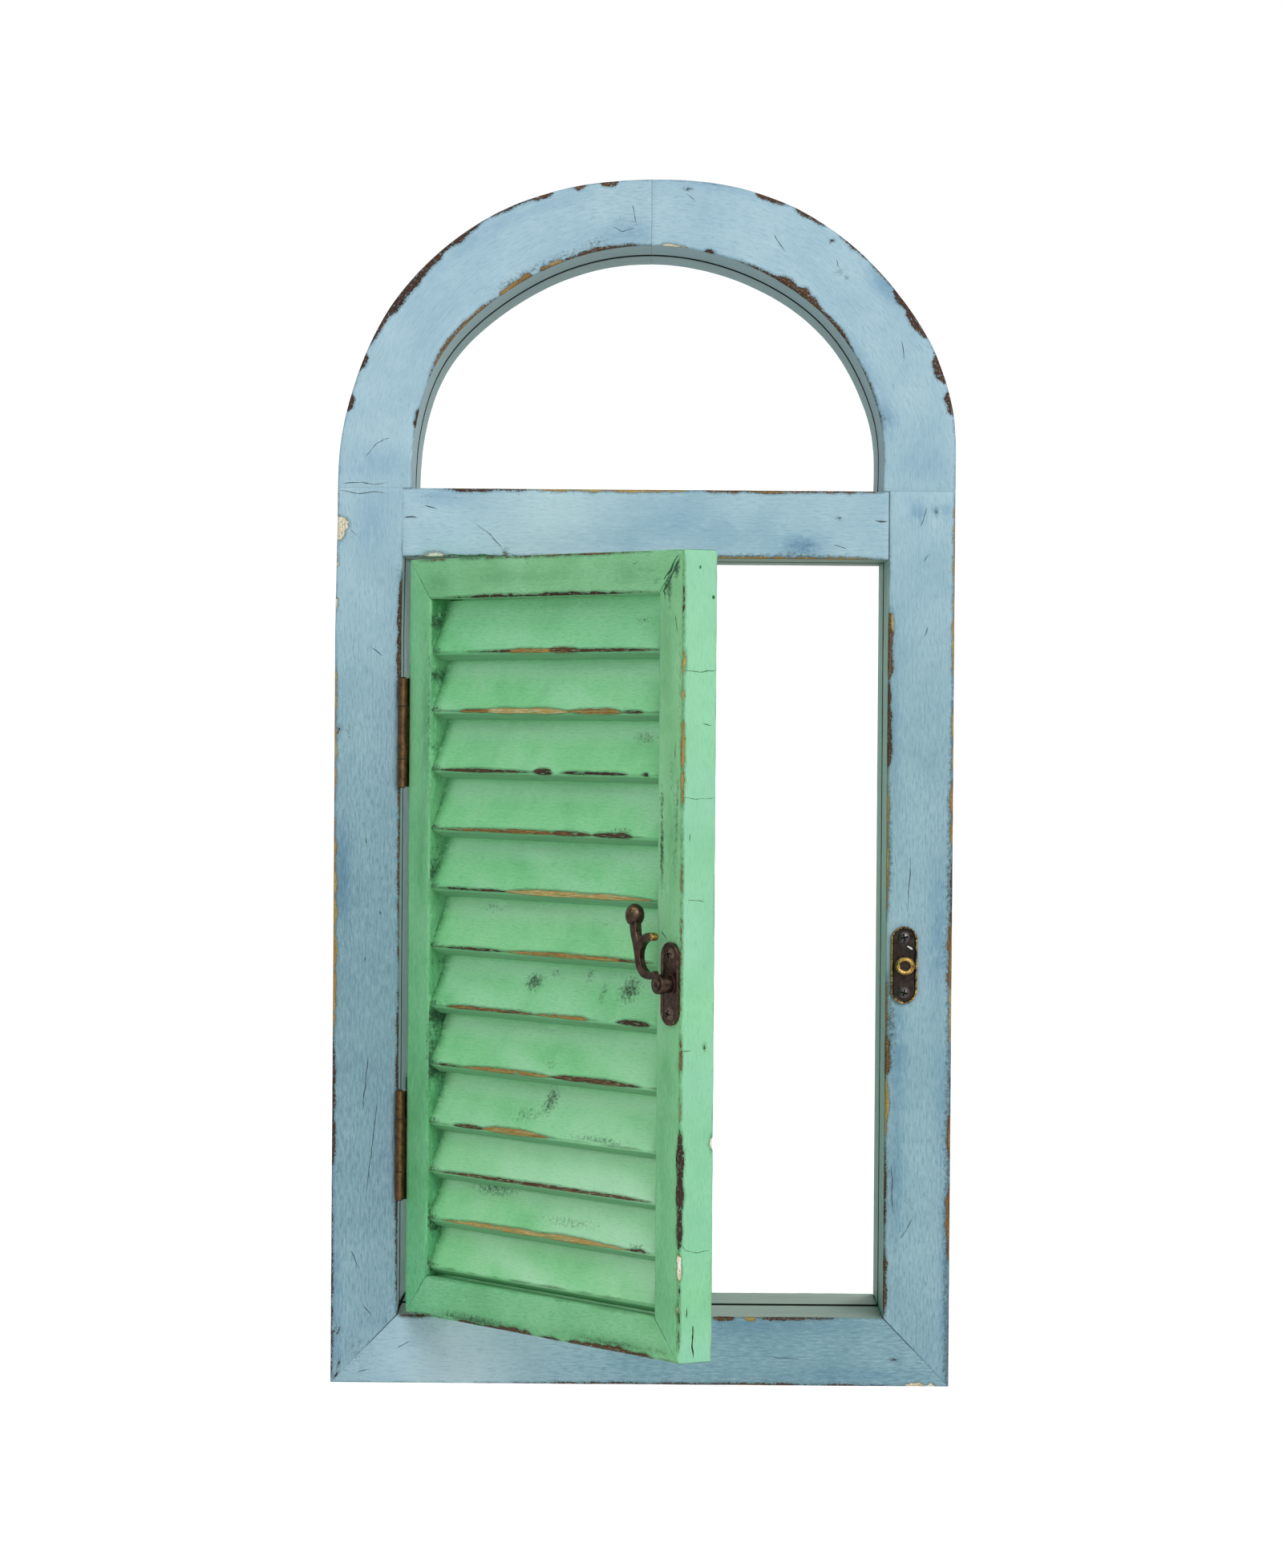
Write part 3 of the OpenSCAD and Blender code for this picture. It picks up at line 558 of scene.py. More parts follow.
class Shader(Nodes):
    """The nodes of one material."""

    def __init__(self, name, **settings):
        self.material = bpy.data.materials.new(name)
        super().__init__(self.material)
        self.surface = self.tree.nodes["Principled BSDF"]
        for socket, value in settings.items():
            self.surface.inputs[socket.replace("_", " ")].default_value = value

    def mix(self, share, a, b, blend="MIX"):
        made = self.tree.nodes.new("ShaderNodeMix")
        made.data_type, made.blend_type = "RGBA", blend
        for socket, value in ((0, share), (6, a), (7, b)):
            self.put(made.inputs[socket], value)
        return made.outputs[2]

    def darkened(self, share, base, shade):
        """The base times a shade, where share is 1."""
        return self.mix(share, base, self.mix(1.0, base, (*shade, 1.0), "MULTIPLY"))

    def ramp(self, value, *stops):
        made = self.tree.nodes.new("ShaderNodeValToRGB")
        elements = made.color_ramp.elements
        while len(elements) < len(stops):
            elements.new(0.5)
        for element, (position, shade) in zip(elements, stops):
            element.position, element.color = position, shade
        self.put(made.inputs[0], value)
        return made.outputs[0]

    def attribute(self, name, output="Fac"):
        made = self.tree.nodes.new("ShaderNodeAttribute")
        made.attribute_name = name
        return made.outputs[output]

    def here(self):
        """Where a point lies at rest, in millimetres."""
        return self.stretch(self.node("ShaderNodeTexCoord").outputs["Object"], METRE, METRE, METRE)

    def stretch(self, vector, *scale):
        return self.node("ShaderNodeMapping", Scale=scale, Vector=vector).outputs[0]

    def noise(self, vector, scale, detail, rough, warp=0.0):
        made = self.node("ShaderNodeTexNoise", Vector=vector, Scale=scale, Detail=detail,
                         Roughness=rough, Distortion=warp)
        return made.outputs[0]

    def bump(self, height, reach_mm, strength):
        made = self.node("ShaderNodeBump", Strength=strength, Distance=reach_mm / METRE, Height=height)
        self.put(self.surface.inputs["Normal"], made.outputs[0])

    def paint(self, base, roughness):
        self.put(self.surface.inputs["Base Color"], base)
        self.put(self.surface.inputs["Roughness"], roughness)
        return self.material


# ----------------------------------------------------------------- materials

PRIMER = colour(238, 232, 222)
PALE_TAN = colour(192, 175, 108)
ORANGE_TAN = colour(160, 124, 60)
BROWN = colour(94, 67, 45)
DARK_BROWN = colour(54, 37, 31)
RIM_GRIME_AND_SHADE = (0.36, 0.32, 0.30)
JOINT_AND_GAP_SHADE = (0.018, 0.024, 0.021, 1.0)
HOLLOW_SHADE = (0.006, 0.005, 0.005, 1.0)


def paint_noises(s, run):
    """The textures of old brush paint, most of them stretched along the grain."""
    grain = s.attribute("grain", "Vector")
    along = s.stretch(grain, run, 1.0, 1.0)
    return {
        "clouds": s.noise(grain, 0.030, 4, 0.6, 0.3),
        "brush": s.noise(s.stretch(grain, 0.020, 0.62, 0.62), 1.0, 5, 0.62, 0.2),
        "fine": s.noise(s.stretch(grain, 0.30, 1.9, 1.9), 1.0, 4, 0.62),
        "speck": s.noise(grain, 0.85, 2, 0.5),
        "patchy": s.noise(s.stretch(grain, 0.45, 1.0, 1.0), 0.24, 6, 0.72),
        "grime": s.noise(grain, 0.55, 6, 0.75),
        "hairs": s.noise(s.stretch(grain, 0.16, 1.0, 1.0), 1.25, 5, 0.72),
        "streak": s.noise(s.stretch(grain, 0.06, 1.5, 1.5), 1.0, 4, 0.62),
        "ragged": s.noise(along, 0.62, 5, 0.66),
        "crumbs": s.noise(along, 1.9, 3, 0.6),
        "scabs": s.noise(along, 1.35, 3, 0.6)}


def sound_coat(s, n, c, crumble):
    """The paint where it is whole, from the noises n and the colours c."""
    coat = s.ramp(n["clouds"], (0.32, c["deep"]), (0.48, c["middle"]), (0.66, c["light"]))
    for texture, low, high, most, over in (
            ("brush", 0.45, 0.75, 0.45, "light"), ("brush", 0.46, 0.24, 0.40, "deep"),
            ("fine", 0.46, 0.66, 0.52, "deep"), ("fine", 0.48, 0.30, 0.42, "light"),
            ("patchy", 0.55, 0.70, 0.16, "pale")):
        coat = s.mix(s.step(n[texture], low, high, 0.0, most), coat, c[over])
    coat = s.mix(s.attribute("pale"), coat, c["pale"])
    coat = s.mix(s.times(s.attribute("tint"), s.step(n["patchy"], 0.30, 0.52)), coat, c["tint"])
    coat = s.mix(s.step(n["hairs"], 0.50, 0.66, 0.0, 0.34 * crumble), coat, c["tint"])
    # The shade attribute darkens the coat; on many members this is a painted shade.
    dull = s.times(s.attribute("shade"), s.step(n["hairs"], 0.38, 0.64, 0.72, 1.36))
    coat = s.darkened(dull, coat, c["shade"])
    # The older, greener coat, streaked; on the louvers' undersides it also serves as a painted shade.
    streaky = s.mix(s.step(n["brush"], 0.42, 0.72, 0.0, 0.34), c["old_coat"], c["stain"])
    coat = s.mix(s.attribute("old_coat"), coat, streaky)
    coat = s.mix(s.step(n["speck"], 0.745, 0.80, 0.0, 0.70), coat, c["stain"])
    stained = s.attribute("stain")
    amount = s.add(stained, s.scaled(n["grime"], 1.9, 0.5))
    return s.mix(s.times(s.step(amount, 0.16, 0.75), s.step(stained, 0.02, 0.25)), coat, c["stain"])


def bare_wood(s, n, field):
    """What shows where the paint is gone, from primer to dark wood, darker at its rim."""
    tone = s.add(s.attribute("tone"), s.scaled(n["streak"], 0.75, 0.5), s.scaled(n["crumbs"], 0.55, 0.5))
    wood = s.ramp(tone, (0.05, PRIMER), (0.24, PALE_TAN), (0.46, ORANGE_TAN), (0.68, BROWN),
                  (0.90, DARK_BROWN))
    # Darker near the paint's edge: grime and a painted shadow of the paint's edge.
    return s.darkened(s.step(field, 0.02, 0.42, 0.62, 0.0), wood, RIM_GRIME_AND_SHADE)


def brush_paint(name, run, crumble, **colours):
    """Old brush paint that has worn off the arrises down to the wood.

    run stretches the wear's ragged outline along the grain, and crumble sets how
    ragged it is. field is the signed depth of the bare zones in mm.
    """
    s = Shader(name)
    n = paint_noises(s, run)
    field = s.add(s.attribute("wear"), s.scaled(n["ragged"], 1.9 * crumble, 0.5),
                  s.scaled(n["crumbs"], 2.6 * crumble, 0.5))
    worn = s.times(s.step(field, -0.07, 0.10), s.step(n["scabs"], 0.57, 0.64, 1.0, 0.15))
    halo = s.math("MAXIMUM", s.math("SUBTRACT", s.step(field, -1.3, -0.04), worn), 0.0)
    coat = s.mix(s.times(halo, 0.60), sound_coat(s, n, colours, crumble), colours["fringe"])

    seam = s.attribute("seam")
    uneven = s.times(s.scaled(n["grime"], 4.0, 0.5), s.math("SUBTRACT", 1.0, seam))
    finish = s.mix(worn, coat, bare_wood(s, n, field))
    # Dark joints at the ends; at the mirror the same colour is grime and a painted shadow in the gap.
    finish = s.mix(s.add(seam, s.times(seam, uneven)), finish, JOINT_AND_GAP_SHADE)
    s.put(s.surface.inputs["Specular IOR Level"], s.step(seam, 0.0, 0.9, 0.3, 0.0))
    s.bump(s.add(s.scaled(worn, -0.8), s.scaled(n["brush"], 0.55), s.scaled(n["fine"], 0.55),
                 s.scaled(n["hairs"], 0.35), s.scaled(n["speck"], 0.18)), 0.30, 0.75)
    return s.paint(finish, s.step(s.add(worn, s.scaled(n["clouds"], 0.3)), 0.0, 1.2, 0.50, 0.88))


def bare_board(name, pale, dark, grain_scale):
    """Hardboard or plain wood, its fibres stretched by grain_scale."""
    s = Shader(name, Specular_IOR_Level=0.25)
    here = s.here()
    fibres = s.noise(s.stretch(here, *grain_scale), 1.0, 6, 0.65, 0.3)
    clouds = s.noise(here, 0.012, 4, 0.6)
    tint = s.ramp(s.add(s.scaled(fibres, 0.7), s.scaled(clouds, 0.4)), (0.38, dark), (0.66, pale))
    s.bump(fibres, 0.12, 0.5)
    return s.paint(tint, s.step(fibres, 0.3, 0.7, 0.7, 0.88))


def antique_metal(name, shadow, body, rubbed):
    """Dark patina; the rub attribute and noise bring the brighter metal out."""
    s = Shader(name, Metallic=0.90)
    here = s.here()
    blotch = s.noise(here, 0.42, 5, 0.62)
    fine = s.noise(here, 2.2, 4, 0.65)
    tint = s.ramp(blotch, (0.34, shadow), (0.66, body))
    rubbing = s.add(s.attribute("rub"), s.scaled(fine, 0.9, 0.5), s.scaled(blotch, 0.8, 0.5))
    tint = s.mix(s.step(rubbing, 0.40, 0.75), tint, rubbed)
    # Near black in the screws' cross recesses, a painted shade.
    tint = s.mix(s.attribute("hollow_shade"), tint, HOLLOW_SHADE)
    s.bump(s.add(blotch, s.scaled(fine, 0.3)), 0.05, 0.20)
    return s.paint(tint, s.step(blotch, 0.3, 0.7, 0.28, 0.42))


def plain_steel(name):
    s = Shader(name, Metallic=1.0)
    here = s.here()
    smears = s.noise(s.stretch(here, 0.2, 1.6, 0.9), 1.0, 4, 0.6)
    spots = s.noise(here, 0.7, 4, 0.7)
    tint = s.ramp(smears, (0.3, colour(150, 152, 152)), (0.7, colour(196, 198, 198)))
    tint = s.mix(s.step(spots, 0.62, 0.76, 0.0, 0.7), tint, colour(128, 104, 84))
    s.bump(smears, 0.05, 0.3)
    return s.paint(tint, s.step(smears, 0.3, 0.7, 0.28, 0.46))


def mirror_silver():
    """Clean silvered glass with a breath of haze."""
    s = Shader("mirror_silver", Metallic=1.0)
    haze = s.noise(s.here(), 0.02, 4, 0.6)
    tint = s.ramp(haze, (0.35, colour(232, 237, 234)), (0.65, colour(237, 242, 239)))
    return s.paint(tint, s.step(haze, 0.3, 0.8, 0.004, 0.018))


def mottled(name, low, high, scale, roughness):
    """A small matt surface in two close shades."""
    s = Shader(name, Specular_IOR_Level=0.2)
    blotch = s.noise(s.here(), scale, 4, 0.65)
    s.bump(blotch, 0.05, 0.4)
    tint = s.ramp(blotch, (0.36, low), (0.64, high))
    return s.paint(tint, s.step(blotch, 0.3, 0.7, roughness, roughness + 0.1))


# In each paint, the older coat's colour also serves as painted shade on undersides, the pale colour as
# painted light on some faces, and the shade colour darkens the coat, mostly as painted shade.
BLUE = brush_paint(
    "old_blue_paint",
    light=colour(171, 201, 213), middle=colour(161, 192, 206), deep=colour(149, 182, 198),
    tint=colour(112, 152, 180), stain=colour(74, 94, 98), old_coat=colour(149, 165, 153),
    fringe=colour(92, 118, 128), pale=colour(208, 229, 232), shade=(0.50, 0.60, 0.61),
    run=0.6, crumble=1.0)
GREEN = brush_paint(
    "old_green_paint",
    light=colour(152, 217, 163), middle=colour(138, 207, 148), deep=colour(121, 193, 134),
    tint=colour(76, 148, 92), stain=colour(46, 84, 56), old_coat=colour(98, 152, 112),
    fringe=colour(64, 112, 70), pale=colour(150, 208, 186), shade=(0.45, 0.80, 0.74),
    run=0.3, crumble=0.65)
SLAT_GREEN = brush_paint(
    "old_green_slats",
    light=colour(156, 226, 168), middle=colour(138, 220, 152), deep=colour(122, 206, 138),
    tint=colour(76, 152, 94), stain=colour(46, 84, 56), old_coat=colour(90, 146, 104),
    fringe=colour(50, 92, 54), pale=colour(192, 243, 206), shade=(0.45, 0.80, 0.74),
    run=0.12, crumble=0.55)
WOOD = bare_board("plain_wood", colour(214, 184, 140), colour(176, 138, 94), (0.9, 0.9, 0.05))
BOARD = bare_board("brown_hardboard", colour(150, 112, 76), colour(112, 80, 52), (0.35, 0.35, 0.35))
BRASS = colour(196, 158, 84)
BRONZE = antique_metal("antique_bronze", colour(55, 45, 38), colour(96, 77, 63), BRASS)
SCREW_BRONZE = antique_metal("screw_bronze", colour(74, 62, 54), colour(122, 104, 90), colour(176, 164, 148))
KEEPER_BRONZE = antique_metal("keeper_bronze", colour(30, 26, 23), colour(58, 49, 43), BRASS)
HINGE_BRONZE = antique_metal("hinge_bronze", colour(78, 58, 40), colour(112, 84, 54), colour(168, 132, 78))
SCREW_METAL = antique_metal("screw_metal", colour(80, 76, 74), colour(108, 102, 100), colour(150, 144, 138))
STEEL = plain_steel("zinc_steel")
MIRROR = mirror_silver()
CRACK = mottled("paint_cracks", colour(44, 56, 58), colour(84, 100, 102), 0.6, 0.8)
# Also the colour of the dark discs that stand for the shadow between hinge knuckles.
CRACK_AND_GAP_SHADE = mottled("wood_cracks_and_gap_shade", colour(30, 26, 22), colour(64, 52, 42), 0.6, 0.8)
GREEN_CRACK = mottled("green_cracks", colour(40, 76, 50), colour(72, 122, 84), 0.6, 0.8)
CHIP = mottled("primer_chips", colour(206, 204, 196), colour(240, 238, 232), 1.6, 0.7)


# -------------------------------------------------------------- blue members

def front_corners(width):
    """A frame section's corners round its front, as far as the mirror."""
    return [(0, 0), (width, 0), (width, GLASS_DEEP - MIRROR_LINE - MIRROR_FADE),
            (width, GLASS_DEEP - MIRROR_LINE), (width, GLASS_DEEP)]


def frame_section(width):
    """The frame's stepped section: u from the outer edge, v from the front."""
    corners = front_corners(width) + [
        (width - GLASS_STEP, GLASS_DEEP), (width - GLASS_STEP, BOARD_DEEP),
        (width - BOARD_STEP, BOARD_DEEP), (width - BOARD_STEP, DEPTH), (0, DEPTH)]
    return round_section(corners, [0.9, 0.8, 0, 0, 0, 0, 0, 0, 0.5, 0.7], 2.4)


def arrises(width, depth, step=0.0):
    """Distances from a stick's four long arrises; step sets back the inner one behind."""
    return {
        "outer": lambda u, v: u + v,
        "inner": lambda u, v: np.abs(width - u) + v,
        "back_outer": lambda u, v: u + (depth - v),
        "back_inner": lambda u, v: np.abs(width - step - u) + (depth - v)}


def mirror_gap_shadow(width):
    """The dark line where the inner face meets the mirror: grime and a painted shadow in the gap."""
    return lambda t, u, v: (u > width - 0.6) & (v > GLASS_DEEP - MIRROR_LINE - 0.1)


MITRE_OPEN = 19.0


def mitre_line(u):
    """The mitre's joint line, strong from MITRE_OPEN inwards."""
    return 0.15 + 0.7 * (u > MITRE_OPEN)


class Mitred(Member):
    """A stick cut slantwise at its low end, and at its high end too if both is set.

    The cuts run so far along it, rise, for each run across it.
    """

    def __init__(self, *given, rise=1.0, run=1.0, both=True):
        super().__init__(*given)
        self.rise, self.run, self.both = rise, run, both

    def ends(self, u):
        low, high = super().ends(u)
        cut = u * self.rise / self.run
        return low + cut, high - cut if self.both else high


def frame_stile(name, place, section, edges, seed):
    return Mitred(name, "frame", section, place, (0, STILE_TOP), edges, seed,
                  rise=RAIL_H, run=STILE_W, both=False)


UNDER_ARCH = ARCH_LEAN - ARCH_SPREAD
UNDERCUT = 1.3


def right_stile_place(t, u, v):
    return HALF_W - u, FRONT + v, t


def left_stile_place(t, u, v):
    """The left stile leans in at its top, and its inner face is undercut."""
    lean = UNDER_ARCH * smooth(t, STILE_TOP - 70, STILE_TOP)
    undercut = UNDERCUT * v / GLASS_DEEP * (u > STILE_W - 0.6)
    return lean + u - undercut - HALF_W, FRONT + v, t


def rail_place(t, u, v):
    return t, FRONT + v, u


def transom_place(t, u, v):
    return t, FRONT + v, TRANSOM_HI[2] - u


def arch_place(side):
    """t runs along the middle of the band, up from the stile to the apex."""
    bend = BAND_R * math.pi / 2
    centre, spread, swelling = INNER_SWELL[side]

    def place(t, u, v):
        turn = np.clip((t - ARCH_LEG) / BAND_R, 0, math.pi / 2)
        x = ARCH_SIDE + ARCH_OUT_R * np.cos(turn) - np.clip(t - ARCH_LEG - bend, 0, None)
        z = ARCH_Z + ARCH_OUT_R * np.sin(turn) + np.clip(t - ARCH_LEG, None, 0)
        aim = np.arctan2(z - ARCH_IN_Z, x)
        leg, degrees = z < ARCH_IN_Z, np.degrees(aim)
        in_r = ARCH_IN_R + swelling * np.exp(-((degrees - centre) / spread) ** 2) * smooth(degrees, 0, 10)
        in_x = np.where(leg, ARCH_IN_R, in_r * np.cos(aim))
        in_z = np.where(leg, z, ARCH_IN_Z + in_r * np.sin(aim))
        drift = np.interp(degrees, *zip(*OUTER_DRIFT[side]))
        x, z = x + drift * np.cos(aim), z + drift * np.sin(aim)
        band = np.hypot(in_x - x, in_z - z)
        floor = smooth(u, STILE_W - GLASS_STEP, STILE_W) * (1 - (STILE_W - GLASS_STEP) / band)
        floor = floor + np.minimum(u, STILE_W - GLASS_STEP) / band
        share = np.where(v < GLASS_DEEP + 0.2, floor, u / band)
        share = np.where(v < GLASS_DEEP - 0.2, u / STILE_W, share)
        x, z = x + (in_x - x) * share, z + (in_z - z) * share
        rise = smooth(z, STILE_TOP, STILE_TOP + ARCH_RISE) if side > 0 else 1.0
        lean = (ARCH_LEAN + side * ARCH_SPREAD * x / HALF_W) * rise
        return np.clip(side * x + lean, -HALF_W, HALF_W), FRONT + v, z
    return place


ARCH_SPAN = (0.0, ARCH_LEG + BAND_R * math.pi / 2 + ARCH_SIDE)


def arc(degrees):
    """Where an angle above the springing lies along an arch half."""
    return ARCH_LEG + BAND_R * math.radians(degrees)


def reveal_amount(width, amount):
    """An amount on the face that looks into an opening, from its front to the mirror."""
    return lambda t, u, v: amount * ((u > width - 0.5) & (v > 0.8) & (v <= GLASS_DEEP + 0.1))


def left_stile(section, edges):
    m = frame_stile("stile_left_wood", left_stile_place, section, edges, 1)
    m.rub("outer", (330, 258, 0.9, 0.34), (262, 150, 1.4, 0.42), (160, 92, 1.3, 0.82), (95, -4, 0.8, 0.86),
          (375, 368, 0.8, 0.05), (356, 349, 0.9, 0.05))
    m.rub("inner", (368, 300, 1.6, 0.80), (305, 180, 0.9, 0.68), (190, 30, 1.0, 0.76))
    m.spot((388.4, 1.0, 3.4, 4.4, 0.10), (384.6, 0.8, 3.6, 2.8, 0.14), (296, 2.2, 1.2, 1.0, 0.95),
           (24, 3.4, 1.3, 1.1, 0.95), (9, 4.0, 1.3, 0.8, 0.95), (2.5, 3.0, 1.3, 2.2, 0.95))
    m.stain((295, 7, 8, 4, 0.30), (14, 11, 13, 9, 0.28), (366, 28, 9, 3, 0.25), (235, 1.5, 24, 2.5, 0.30),
            (96, 3, 12, 3, 0.25), (52, 16, 30, 9, 0.10))
    m.tint((230, 4, 30, 4, 0.9), (30, 2, 40, 3, 0.5), (390, 16, 20, 9, 0.4))
    # Painted shade and patchy paint: darker in the open shutter's shadow and towards the bottom.
    m.shade((0, 0.62), (39, 0.68), (82, 0.76), (155, 1.0), (227, 0.80), (300, 0.56), (350, 0.28),
            (405, 0.08))
    m.seams = (mitre_line, 0.12)
    m.extra = {"seam": mirror_gap_shadow(STILE_W),
               # Painted light: the reveal beside the shutter is made paler.
               "pale": lambda t, u, v: (u > STILE_W - 0.5) & (v > 0.8)}
    return m


def outer_grime(t, u, v):
    """Dirt along the right stile's outer edge, narrower towards its top."""
    width = np.interp(t, (230, 320), (4.6, 2.4))
    return 0.55 * smooth(u / width, 1, 0.2) * (v < 1) * smooth(t, 385, 300)


def right_stile(section, edges):
    m = frame_stile("stile_right_wood", right_stile_place, section, edges, 2)
    m.rub("outer", (406, 313, 0.9, 0.40), (311, 277, 0.8, 0.38), (278, 242, 1.3, 0.5),
          (242, 195, 0.9, 0.78), (212, 178, 2.0, 0.62), (189, 151, 1.1, 0.34), (152, 90, 0.7, 0.74),
          (127, 100, 1.7, 0.66), (92, 56, 2.0, 0.64), (50, 0, 0.4, 0.8))
    m.rub("inner", (351, 318, 2.9, 0.68), (322, 276, 1.8, 0.76), (278, 211, 1.0, 0.40),
          (186, 158, 1.2, 0.58), (160, 140, 2.2, 0.66), (142, 112, 1.5, 0.40), (112, 66, 0.9, 0.8),
          (65, 31, 1.5, 0.76))
    m.spot((345, 28.6, 5, 1.2, 0.22), (338, 28.9, 4, 0.9, 0.26), (84, 19.5, 1.5, 0.9, 0.78),
           (25, 16, 0.8, 0.7, 0.95), (396, 9, 1.0, 0.5, 0.9))
    m.stain((395, 17, 3, 3, 0.25), (195, 3.5, 16, 2.4, 0.30), (163, 27.6, 26, 2.8, 0.62),
            (226, 0.8, 26, 2.6, 0.70), (262, 0.8, 20, 2.2, 0.60), (300, 0.6, 22, 1.6, 0.5),
            (240, 28.8, 34, 1.8, 0.55), (128, 1.0, 24, 2.2, 0.55), (75, 3, 18, 2.2, 0.32),
            (92, 27, 14, 2.0, 0.26), (112, 3, 14, 2.2, 0.26), (84, 30.2, 50, 2.0, 0.55),
            (318, 30.4, 30, 1.6, 0.5))
    m.tint((395, 17, 6, 4, 0.9), (397, 6, 3, 5, 0.8), (45, 1.5, 50, 2.5, 1.0), (155, 24, 30, 4, 0.8),
           (205, 6, 40, 5, 0.7), (300, 27, 40, 3, 0.6), (95, 25, 40, 4, 0.7), (130, 4, 30, 4, 0.5))
    # Painted shade: darker towards the bottom.
    m.shade((0, 0.64), (50, 0.62), (100, 0.58), (191, 0.40), (264, 0.52), (343, 0.26), (405, 0.1))
    m.seams = (0.85, 0.10)
    m.extra = {"seam": mirror_gap_shadow(STILE_W),
               "old_coat": lambda t, u, v: 0.55 * smooth(u, 27.4, 30) * (t < 330) * (v < 1.2),
               # The reveal grows darker towards the bottom.
               "shade": lambda t, u, v: reveal_amount(STILE_W, 1.0)(t, u, v) * smooth(t, 290, 160),
               "stain": outer_grime,
               # Painted light: the reveal is made paler.
               "pale": lambda t, u, v: 0.9 * ((u > STILE_W - 0.5) & (v > 0.8))}
    return m


def foot_rail():
    m = Mitred("bottom_rail_wood", "frame", frame_section(RAIL_H), rail_place, (-HALF_W, HALF_W),
               arrises(RAIL_H, DEPTH, BOARD_STEP), 3, rise=STILE_W, run=RAIL_H)
    m.rub("outer", (-66, 120, 0.9, 0.76), (119, 129, 1.7, 0.14), (130, 134, 1.4, 0.05))
    m.rub("inner", (-110, -94, 0.9, 0.66), (-60, 20, 0.7, 0.74), (32, 44, 1.3, 0.72), (47, 53, 1.9, 0.42),
          (52, 89, 1.2, 0.76))
    m.spot((115, 12, 1.4, 0.7, 0.86))
    m.stain((115, 12, 2.2, 1.2, 0.4), (-126, 10, 11, 9, 0.26), (-20, 28, 60, 4, 0.22),
            (70, 1.5, 60, 2.0, 0.30), (-96, 24, 10, 6, 0.22))
    m.tint((60, 27, 50, 4, 0.5), (90, 5, 50, 4, 0.5))
    # Painted shade: darker at the left corner and, in the open shutter's shadow, from the middle to the
    # right.
    m.shade((-140, 0.55), (-110, 0.1), (-75, 0.0), (-35, 0.5), (0, 0.92), (70, 1.0), (125, 0.85),
            (140, 0.8))
    m.seams = (mitre_line, 0.85)
    m.extra = {"seam": mirror_gap_shadow(RAIL_H), "old_coat": reveal_amount(RAIL_H, 0.9),
               "pale": lambda t, u, v: 0.42 * np.exp(-((t + 80) / 24) ** 2)}
    return m


def transom():
    section = round_section(front_corners(TRANSOM_H) + [(0, GLASS_DEEP)], [0.8, 0.8, 0, 0, 0, 0], 2.4)
    edges = arrises(TRANSOM_H, DEPTH)
    m = Member("transom_wood", "frame", section, transom_place, (-OPEN_HALF, OPEN_HALF),
               {name: edges[name] for name in ("outer", "inner")}, 4)
    m.rub("outer", (-92, -52, 1.4, 0.82), (-58, 24, 1.1, 0.40), (18, 109, 1.1, 0.62))
    m.rub("inner", (6, 109, 0.9, 0.44), (-110, 10, 0.5, 0.7))
    m.spot((-95, 30.3, 4.6, 1.4, 0.0), (-63, 29.4, 0.9, 1.6, 0.5), (87, 12.5, 0.8, 0.8, 0.95))
    # The two long bands along the lower edge are dirt and a painted shade where the arris turns under.
    m.stain((71, 24.5, 10, 5, 0.30), (-100, 5, 6, 4, 0.2), (58, 30.6, 62, 2.8, 0.55), (-88, 3, 14, 2, 0.24),
            (-34, 31.0, 56, 2.0, 0.55))
    m.tint((71, 25, 12, 6, 1.0), (12, 14, 26, 14, 0.38), (-20, 24, 30, 7, 0.3), (45, 20, 22, 10, 0.3),
           (-92, 4, 16, 5, 0.5))
    m.shade((-110, 0.0), (-80, -0.1), (-30, -0.15), (10, 0.0), (60, 0.1), (110, 0.1))
    m.seams = (0.85, 0.75)
    m.extra = {"seam": mirror_gap_shadow(TRANSOM_H), "old_coat": reveal_amount(TRANSOM_H, 0.9),
               "pale": lambda t, u, v: 0.28 * np.exp(-((t + 42) / 26) ** 2) * (v < 1)}
    return m


def left_arch(section, edges):
    m = Member("arch_left_wood", "frame", section, arch_place(-1), ARCH_SPAN, edges, 5)
    m.rub("outer", (arc(25), arc(60), 2.5, 0.84), (arc(31), arc(47), 3.6, 0.88),
          (arc(12), arc(15.5), 1.9, 0.85), (arc(20.5), arc(24), 1.7, 0.85), (arc(68.5), arc(74), 1.5, 0.78),
          (arc(77.5), arc(80), 1.6, 0.7), (arc(83), arc(86.5), 2.2, 0.76), (arc(60), arc(70), 1.1, 0.8))
    m.rub("inner", (arc(24), arc(52), 1.2, 0.62), (arc(52), arc(58), 2.0, 0.50),
          (arc(56), arc(62), 2.3, 0.56), (arc(64), arc(67.5), 2.0, 0.60), (arc(66.5), arc(71), 2.5, 0.46),
          (arc(70), arc(91), 1.1, 0.74), (arc(76), arc(85), 1.5, 0.76), (arc(12), arc(17), 1.3, 0.86))
    m.stain((arc(58), 27.5, 20, 2.2, 0.45), (arc(72), 27.5, 18, 2, 0.4), (arc(87), 20, 16, 9, 0.20),
            (arc(80), 26, 9, 3, 0.28), (arc(10), 12, 14, 9, 0.13), (arc(84), 8, 1.5, 1.2, 0.8))
    m.tint((arc(2), 14, 10, 14, 0.4), (arc(88), 24, 14, 6, 0.5), (arc(60), 5, 40, 3, 0.4))
    m.shade((0, 0.05), (arc(20), 0.0), (arc(60), 0.0), (arc(90), 0.2))
    m.seams = (0.12, 0.35)
    m.extra = {"seam": mirror_gap_shadow(STILE_W), "old_coat": reveal_amount(STILE_W, 0.45),
               # Painted shade on the arch's underside.
               "shade": reveal_amount(STILE_W, 0.45)}
    return m


